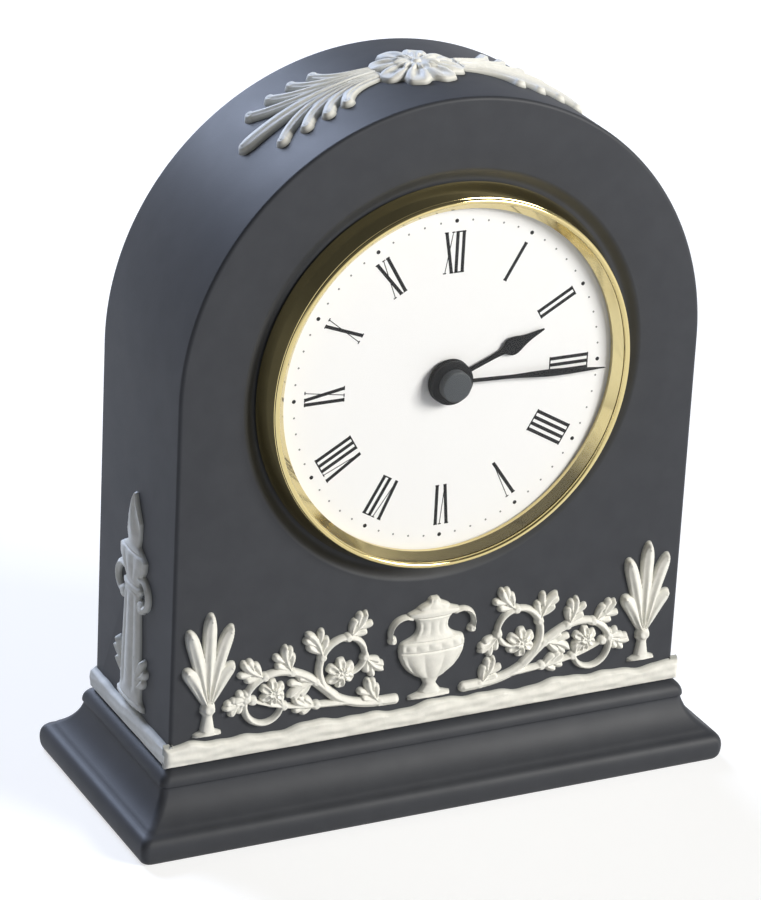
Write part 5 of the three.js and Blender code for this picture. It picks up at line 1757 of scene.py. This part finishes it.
@dataclass
class DialPrint:
    """The Roman figures and the minute track, as films of ink on the dial."""

    sizes: ClockSizes
    insert: Insert
    figure_foot: float = 21.7
    figure_top: float = 30.1
    film: float = 0.02
    dot_radius: float = 32.2
    minute_dot: float = 0.2
    hour_dot: float = 0.4
    figures: tuple[str, ...] = ("XII", "I", "II", "III", "IIII", "V", "VI", "VII", "VIII", "IX", "X", "XI")

    def on_dial(self, angle: float, across: float, out: float, lift: float) -> Point:
        """A point in a figure's own frame, with its top outwards.

        Args:
            angle: The figure's angle in radians, clockwise from 12.
            across: Distance to its right.
            out: Distance from the dial's centre.
            lift: Height above the dial.

        Returns:
            The point in millimetres.
        """
        return (out * math.sin(angle) + across * math.cos(angle),
                self.insert.dial_front - self.sizes.half_depth - lift,
                self.sizes.dial_height + out * math.cos(angle) - across * math.sin(angle))

    def strokes(self, figure: str) -> list[Stroke]:
        """The strokes of a whole figure, centred; a run of I's shares its serifs.

        Args:
            figure: Its letters.

        Returns:
            Two ends and a thickness for each stroke.
        """
        letters = [Letter[letter] for letter in figure]
        left = -sum(letter.value[0] for letter in letters) / 2
        out = []
        for letter, run in groupby(letters):
            start = left
            width, shapes = letter.value
            for _ in run:
                middle = left + width / 2
                out += [((middle + x0, y0), (middle + x1, y1), thickness)
                        for (x0, y0), (x1, y1), thickness in shapes]
                left += width
            if letter is Letter.I:
                out += [((start + 0.25, y), (left - 0.25, y), 0.26) for y in (0.016, 0.984)]
        return out

    def figures_mesh(self) -> Mesh:
        """All twelve figures as one film.

        Returns:
            A mesh with a thin block for each stroke.
        """
        points, faces = [], []
        tall = self.figure_top - self.figure_foot
        for hour, figure in enumerate(self.figures):
            angle = 2 * math.pi * hour / 12
            for (x0, y0), (x1, y1), thickness in self.strokes(figure):
                out0, out1 = self.figure_foot + tall * y0, self.figure_foot + tall * y1
                half = thickness / 2
                if y0 == y1:
                    corners = [(x0, out0 - half), (x0, out0 + half), (x1, out1 + half), (x1, out1 - half)]
                else:
                    corners = [(x0 - half, out0), (x0 + half, out0), (x1 + half, out1), (x1 - half, out1)]
                at = len(points)
                for lift in (-self.film, self.film):
                    points += [self.on_dial(angle, x, y, lift) for x, y in corners]
                faces += [tuple(range(at, at + 4)), tuple(range(at + 4, at + 8))]
                faces += [(at + k, at + (k + 1) % 4, at + 4 + (k + 1) % 4, at + 4 + k) for k in range(4)]
        return mesh_of("figures", points, faces)

    def dots(self, name: str, count: int, radius: float, skip: int, finish: Finish) -> Mesh:
        """A ring of round dots, made by Geometry Nodes.

        Args:
            name: Name of the mesh.
            count: Places round the ring.
            radius: Radius of one dot.
            skip: Leaves out every place whose number is a multiple of this; 0 leaves out none.
            finish: The ink.

        Returns:
            The ring in place on the dial.
        """
        tree = bpy.data.node_groups.new(name, "GeometryNodeTree")
        sockets = {}
        given_values = (("Ring radius", "NodeSocketFloat", self.dot_radius * MM),
                        ("Dot radius", "NodeSocketFloat", radius * MM),
                        ("Film", "NodeSocketFloat", 2 * self.film * MM),
                        ("Places", "NodeSocketInt", count), ("Skip", "NodeSocketInt", skip))
        for label, kind, value in given_values:
            socket = tree.interface.new_socket(label, in_out="INPUT", socket_type=kind)
            sockets[socket.identifier] = value
        tree.interface.new_socket("Geometry", in_out="OUTPUT", socket_type="NodeSocketGeometry")
        given = add_node(tree, "NodeGroupInput").outputs
        ring = add_node(tree, "GeometryNodeMeshCircle",
                        {"Vertices": given["Places"], "Radius": given["Ring radius"]})
        number = add_node(tree, "GeometryNodeInputIndex")
        rest = add_node(tree, "ShaderNodeMath", {0: number.outputs[0], 1: given["Skip"]}, operation="MODULO")
        kept = add_node(tree, "FunctionNodeCompare", {0: rest.outputs[0], 1: 0.5}, operation="GREATER_THAN")
        free = add_node(tree, "FunctionNodeCompare", {0: given["Skip"], 1: 0.5}, operation="LESS_THAN")
        some = add_node(tree, "FunctionNodeBooleanMath", {0: kept.outputs[0], 1: free.outputs[0]},
                        operation="OR")
        dot = add_node(tree, "GeometryNodeMeshCylinder",
                       {"Vertices": 16, "Radius": given["Dot radius"], "Depth": given["Film"]})
        spread = add_node(tree, "GeometryNodeInstanceOnPoints",
                          {"Points": ring.outputs[0], "Selection": some.outputs[0],
                           "Instance": dot.outputs["Mesh"]})
        real = add_node(tree, "GeometryNodeRealizeInstances", {"Geometry": spread.outputs[0]})
        dressed = add_node(tree, "GeometryNodeSetMaterial",
                           {"Geometry": real.outputs[0], "Material": finish.material()})
        add_node(tree, "NodeGroupOutput", {0: dressed.outputs[0]})
        base = placed(name, bpy.data.meshes.new(name))
        step = base.modifiers.new("dots", "NODES")
        step.node_group = tree
        for identifier, value in sockets.items():
            step[identifier] = value
        mesh = applied(name, base)
        depth = (self.insert.dial_front - self.sizes.half_depth) * MM
        mesh.transform(Matrix.Translation((0, depth, self.sizes.dial_height * MM))
                       @ Matrix.Rotation(math.pi / 2, 4, "X"))
        return mesh

    def build(self) -> None:
        """Prints the dial."""
        add_piece("figures_printed", self.figures_mesh(), INK, "insert")
        for name, count, radius, skip, finish in (("minute_dots", 60, self.minute_dot, 5, GREY_INK),
                                                  ("hour_dots", 12, self.hour_dot, 0, INK)):
            add_piece(name, self.dots(name, count, radius, skip, finish), finish, "insert")


@dataclass
class Hands:
    """The hour hand, the minute hand and the nut that holds them."""

    sizes: ClockSizes
    minutes_past_two: float = 15.4
    thickness: float = 0.4
    edge: float = 0.1
    hour_front: float = -1.75
    minute_front: float = -2.5
    hour_boss: float = 4.5
    minute_boss: float = 4.4
    minute_boss_front: float = -2.9
    pipe: float = 2.45
    arbor: float = 1.55
    cap_radius: float = 3.05
    cap_front: float = -5.0
    cap_back: float = -3.2
    cap_round: float = 0.3
    boss_round: float = 0.15
    blade_steps: int = 6
    hour_line: tuple[Pair, ...] = ((4.2, 0.42), (8.5, 0.44), (11.2, 0.52), (12.2, 0.68), (12.8, 1.2),
                                   (13.5, 1.68), (14.3, 1.85), (15.2, 1.68), (16.4, 1.2), (17.6, 0.8),
                                   (19.0, 0.5), (20.3, 0.3), (21.35, 0.1))
    minute_line: tuple[Pair, ...] = ((4.2, 0.34), (10.0, 0.34), (14.0, 0.36), (18.0, 0.58), (22.0, 0.7),
                                     (26.0, 0.55), (30.0, 0.28), (33.25, 0.05))

    def blade(self, name: str, knots: tuple[Pair, ...], front: float, angle: float) -> Mesh:
        """A flat hand with softened front edges.

        Args:
            name: The mesh's name.
            knots: Distance from the centre and half width.
            front: Depth of its face.
            angle: Clockwise from 12, in radians.

        Returns:
            The hand in place.
        """
        line = smooth_line(knots, self.blade_steps)
        rings = []
        for depth, inset in ((front + self.thickness, 0.0), (front + self.edge, 0.0), (front, self.edge)):
            sides = [(out, max(half - inset, 0.02)) for out, half in line]
            outline = sides + [(out, -half) for out, half in reversed(sides)]
            rings.append([(out * math.sin(angle) + side * math.cos(angle), depth - self.sizes.half_depth,
                           self.sizes.dial_height + out * math.cos(angle) - side * math.sin(angle))
                          for out, side in outline])
        return lofted(name, rings)

    def boss(self, name: str, radius: float, front: float, back: float, bore: float) -> Mesh:
        """The round middle of a hand.

        Args:
            name: The mesh's name.
            radius: Its radius.
            front: Depth of its face.
            back: Depth of its back.
            bore: Radius of its hole.

        Returns:
            A closed mesh.
        """
        edge = self.boss_round
        return turned(name, [(bore, front), *arc((radius - edge, front + edge), edge, -math.pi / 2, 0.0, 4),
                             (radius, back), (bore, back)], 96)

    def hand(self, name: str, parts: Sequence[Mesh]) -> Mesh:
        """Joins a blade and its boss.

        Args:
            name: The mesh's name.
            parts: The two meshes.

        Returns:
            One mesh.
        """
        work = bmesh.new()
        for part in parts:
            work.from_mesh(part)
        mesh = bpy.data.meshes.new(name)
        work.to_mesh(mesh)
        work.free()
        return mesh

    def build(self) -> None:
        """Sets the hands to the time."""
        minute_angle = math.radians(6 * self.minutes_past_two)
        hour_angle = math.radians(60 + self.minutes_past_two / 2)
        hour_back = self.hour_front + self.thickness
        minute_back = self.minute_front + self.thickness
        hour = [self.blade("hour_blade", self.hour_line, self.hour_front, hour_angle),
                self.boss("hour_boss", self.hour_boss, self.hour_front, hour_back, self.pipe)]
        minute = [self.blade("minute_blade", self.minute_line, self.minute_front, minute_angle),
                  self.boss("minute_boss", self.minute_boss, self.minute_boss_front, minute_back, self.arbor)]
        add_piece("hour_hand_enamelled", self.hand("hour", hour), ENAMEL, "hour", ["hour_hand"])
        add_piece("minute_hand_enamelled", self.hand("minute", minute), ENAMEL, "minute",
                  ["minute_hand"])
        edge = arc((self.cap_radius - self.cap_round, self.cap_front + self.cap_round), self.cap_round,
                   -math.pi / 2, 0.0, 6)
        cap = turned("cap", [(0.0, self.cap_front), *edge, (self.cap_radius, self.cap_back),
                             (0.0, self.cap_back)], 96)
        # The nut's lighter grey enamel is partly a painted highlight for the lamp it catches.
        add_piece("hand_nut", cap, NUT_ENAMEL_PAINTED_HIGHLIGHT, "minute", ["hand_cap"])


# The studio and the camera


@dataclass
class Studio:
    """A white table, a soft room light and the lamps round the clock, in metres and watts."""

    floor_size: float = 12.0
    floor_colour: str = "#B8B8B8"
    floor_lift: float = 0.66
    world_strength: float = 0.22
    ceiling_share: float = 0.12
    ceiling_rise: Pair = (0.15, 0.5)
    lamp_size: float = 0.6
    key_place: Point = (1.0, -1.15, 0.75)
    key_power: float = 30.5
    key_colour: str = "#FFFDF8"
    rim_place: Point = (-0.22, 1.15, 0.85)
    rim_power: float = 23.0
    rim_colour: str = "#D4E2FF"

    def build(self) -> None:
        """Builds the table, the room light and the lamps."""
        self.floor()
        self.world()
        self.lamp("key_softbox", self.key_place, self.key_power, self.key_colour)
        self.lamp("rim_softbox", self.rim_place, self.rim_power, self.rim_colour)

    def floor(self) -> None:
        """The pale table the clock stands on."""
        half = self.floor_size / 2
        mesh = bpy.data.meshes.new("table_top")
        corners = [(-half, -half, 0), (half, -half, 0), (half, half, 0), (-half, half, 0)]
        mesh.from_pydata(corners, [], [(0, 1, 2, 3)])
        top = placed("table_top", mesh)
        made = bpy.data.materials.new("white_paper_matt")
        tree = empty_tree(made)
        matt = add_node(tree, "ShaderNodeBsdfDiffuse", {"Color": linear(self.floor_colour)})
        lift = add_node(tree, "ShaderNodeMath", {0: self.seen(tree), 1: self.floor_lift},
                        operation="MULTIPLY")
        glow = add_node(tree, "ShaderNodeEmission", {"Color": linear("#FFFFFF"), "Strength": lift.outputs[0]})
        both = add_node(tree, "ShaderNodeAddShader", {0: matt.outputs[0], 1: glow.outputs[0]})
        add_node(tree, "ShaderNodeOutputMaterial", {"Surface": both.outputs[0]})
        mesh.materials.append(made)

    def seen(self, tree: NodeTree) -> NodeSocket:
        """One for rays that show the background, straight, in a mirror or through glass.

        Args:
            tree: The tree it is worked out in.

        Returns:
            Its socket.
        """
        path = add_node(tree, "ShaderNodeLightPath")
        first = add_node(tree, "ShaderNodeMath", operation="MAXIMUM",
                         inputs={0: path.outputs["Is Camera Ray"], 1: path.outputs["Is Glossy Ray"]})
        last = add_node(tree, "ShaderNodeMath", operation="MAXIMUM",
                        inputs={0: first.outputs[0], 1: path.outputs["Is Transmission Ray"]})
        return last.outputs[0]

    def world(self) -> None:
        """A white room, plain white to the eye, whose ceiling is dim where it lights or is mirrored."""
        world = bpy.data.worlds.new("white_room")
        tree = empty_tree(world)
        level = add_node(tree, "ShaderNodeMapRange",
                         {"Value": self.seen(tree), "To Min": self.world_strength, "To Max": 1.0})
        place = add_node(tree, "ShaderNodeTexCoord")
        axes = add_node(tree, "ShaderNodeSeparateXYZ", {0: place.outputs["Generated"]})
        low, high = self.ceiling_rise
        ceiling = add_node(tree, "ShaderNodeMapRange",
                           {"Value": axes.outputs["Z"], "From Min": low, "From Max": high, "To Min": 1.0,
                            "To Max": self.ceiling_share})
        path = add_node(tree, "ShaderNodeLightPath")
        shade = add_node(tree, "ShaderNodeMath", {0: ceiling.outputs[0], 1: path.outputs["Is Camera Ray"]},
                         operation="MAXIMUM")
        share = add_node(tree, "ShaderNodeMath", {0: level.outputs[0], 1: shade.outputs[0]},
                         operation="MULTIPLY")
        light = add_node(tree, "ShaderNodeBackground",
                         {"Color": linear("#FFFFFF"), "Strength": share.outputs[0]})
        add_node(tree, "ShaderNodeOutputWorld", {"Surface": light.outputs[0]})
        bpy.context.scene.world = world

    def lamp(self, name: str, place: Point, power: float, colour: str) -> None:
        """A square softbox that faces the dial.

        Args:
            name: The lamp's name.
            place: Where it stands.
            power: Its power.
            colour: Its colour in hex.
        """
        data = bpy.data.lights.new(name, "AREA")
        data.color = linear(colour)[:3]
        data.size = self.lamp_size
        data.energy = power
        lamp = placed(name, data)
        lamp.location = place
        aim = Vector((0, 0, SIZES.dial_height * MM)) - Vector(place)
        lamp.rotation_euler = aim.to_track_quat("-Z", "Y").to_euler()


@dataclass
class PhotoCamera:
    """The camera at the photograph's place: angles in radians, places in metres."""

    place: Point = (-0.35242, -0.68575, 0.40078)
    azimuth: float = -0.4703881
    elevation: float = 0.4092845
    roll: float = 0.0512966
    lens: float = 172.05
    sensor: float = 36.0

    def build(self) -> None:
        """Makes the camera and gives it to the scene."""
        data = bpy.data.cameras.new("photo_camera")
        data.lens = self.lens
        data.sensor_width = self.sensor
        data.sensor_fit = "AUTO"
        data.clip_start, data.clip_end = 0.01, 50.0
        camera = placed("photo_camera", data)
        level = math.cos(self.elevation)
        forward = Vector((-math.sin(self.azimuth) * level, math.cos(self.azimuth) * level,
                          -math.sin(self.elevation)))
        right = forward.cross(Vector((0, 0, 1))).normalized()
        up = right.cross(forward)
        cos_roll, sin_roll = math.cos(self.roll), math.sin(self.roll)
        right, up = cos_roll * right + sin_roll * up, -sin_roll * right + cos_roll * up
        turn = Matrix((right, up, -forward)).transposed()
        camera.matrix_world = Matrix.Translation(self.place) @ turn.to_4x4()
        bpy.context.scene.camera = camera


def dress_frame() -> None:
    """Gives every CAD node its finish, whether a finer piece stands for it later or not."""
    for finish, names in FINISH_OF_NODE.items():
        for name in names:
            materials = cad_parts[name].data.materials
            materials.clear()
            materials.append(finish.material())


def main() -> None:
    """Builds the clock piece by piece and sets up the picture."""
    logging.basicConfig(level=logging.INFO, format="%(name)s: %(message)s")
    bpy.context.scene.view_settings.view_transform = "Standard"
    dress_frame()
    Case(SIZES).build()
    Relief(SIZES).build()
    insert = Insert(SIZES)
    insert.build()
    InsertBack(insert).build()
    DialPrint(SIZES, insert).build()
    Hands(SIZES).build()
    Studio().build()
    PhotoCamera().build()


if __name__ == "__main__":
    main()
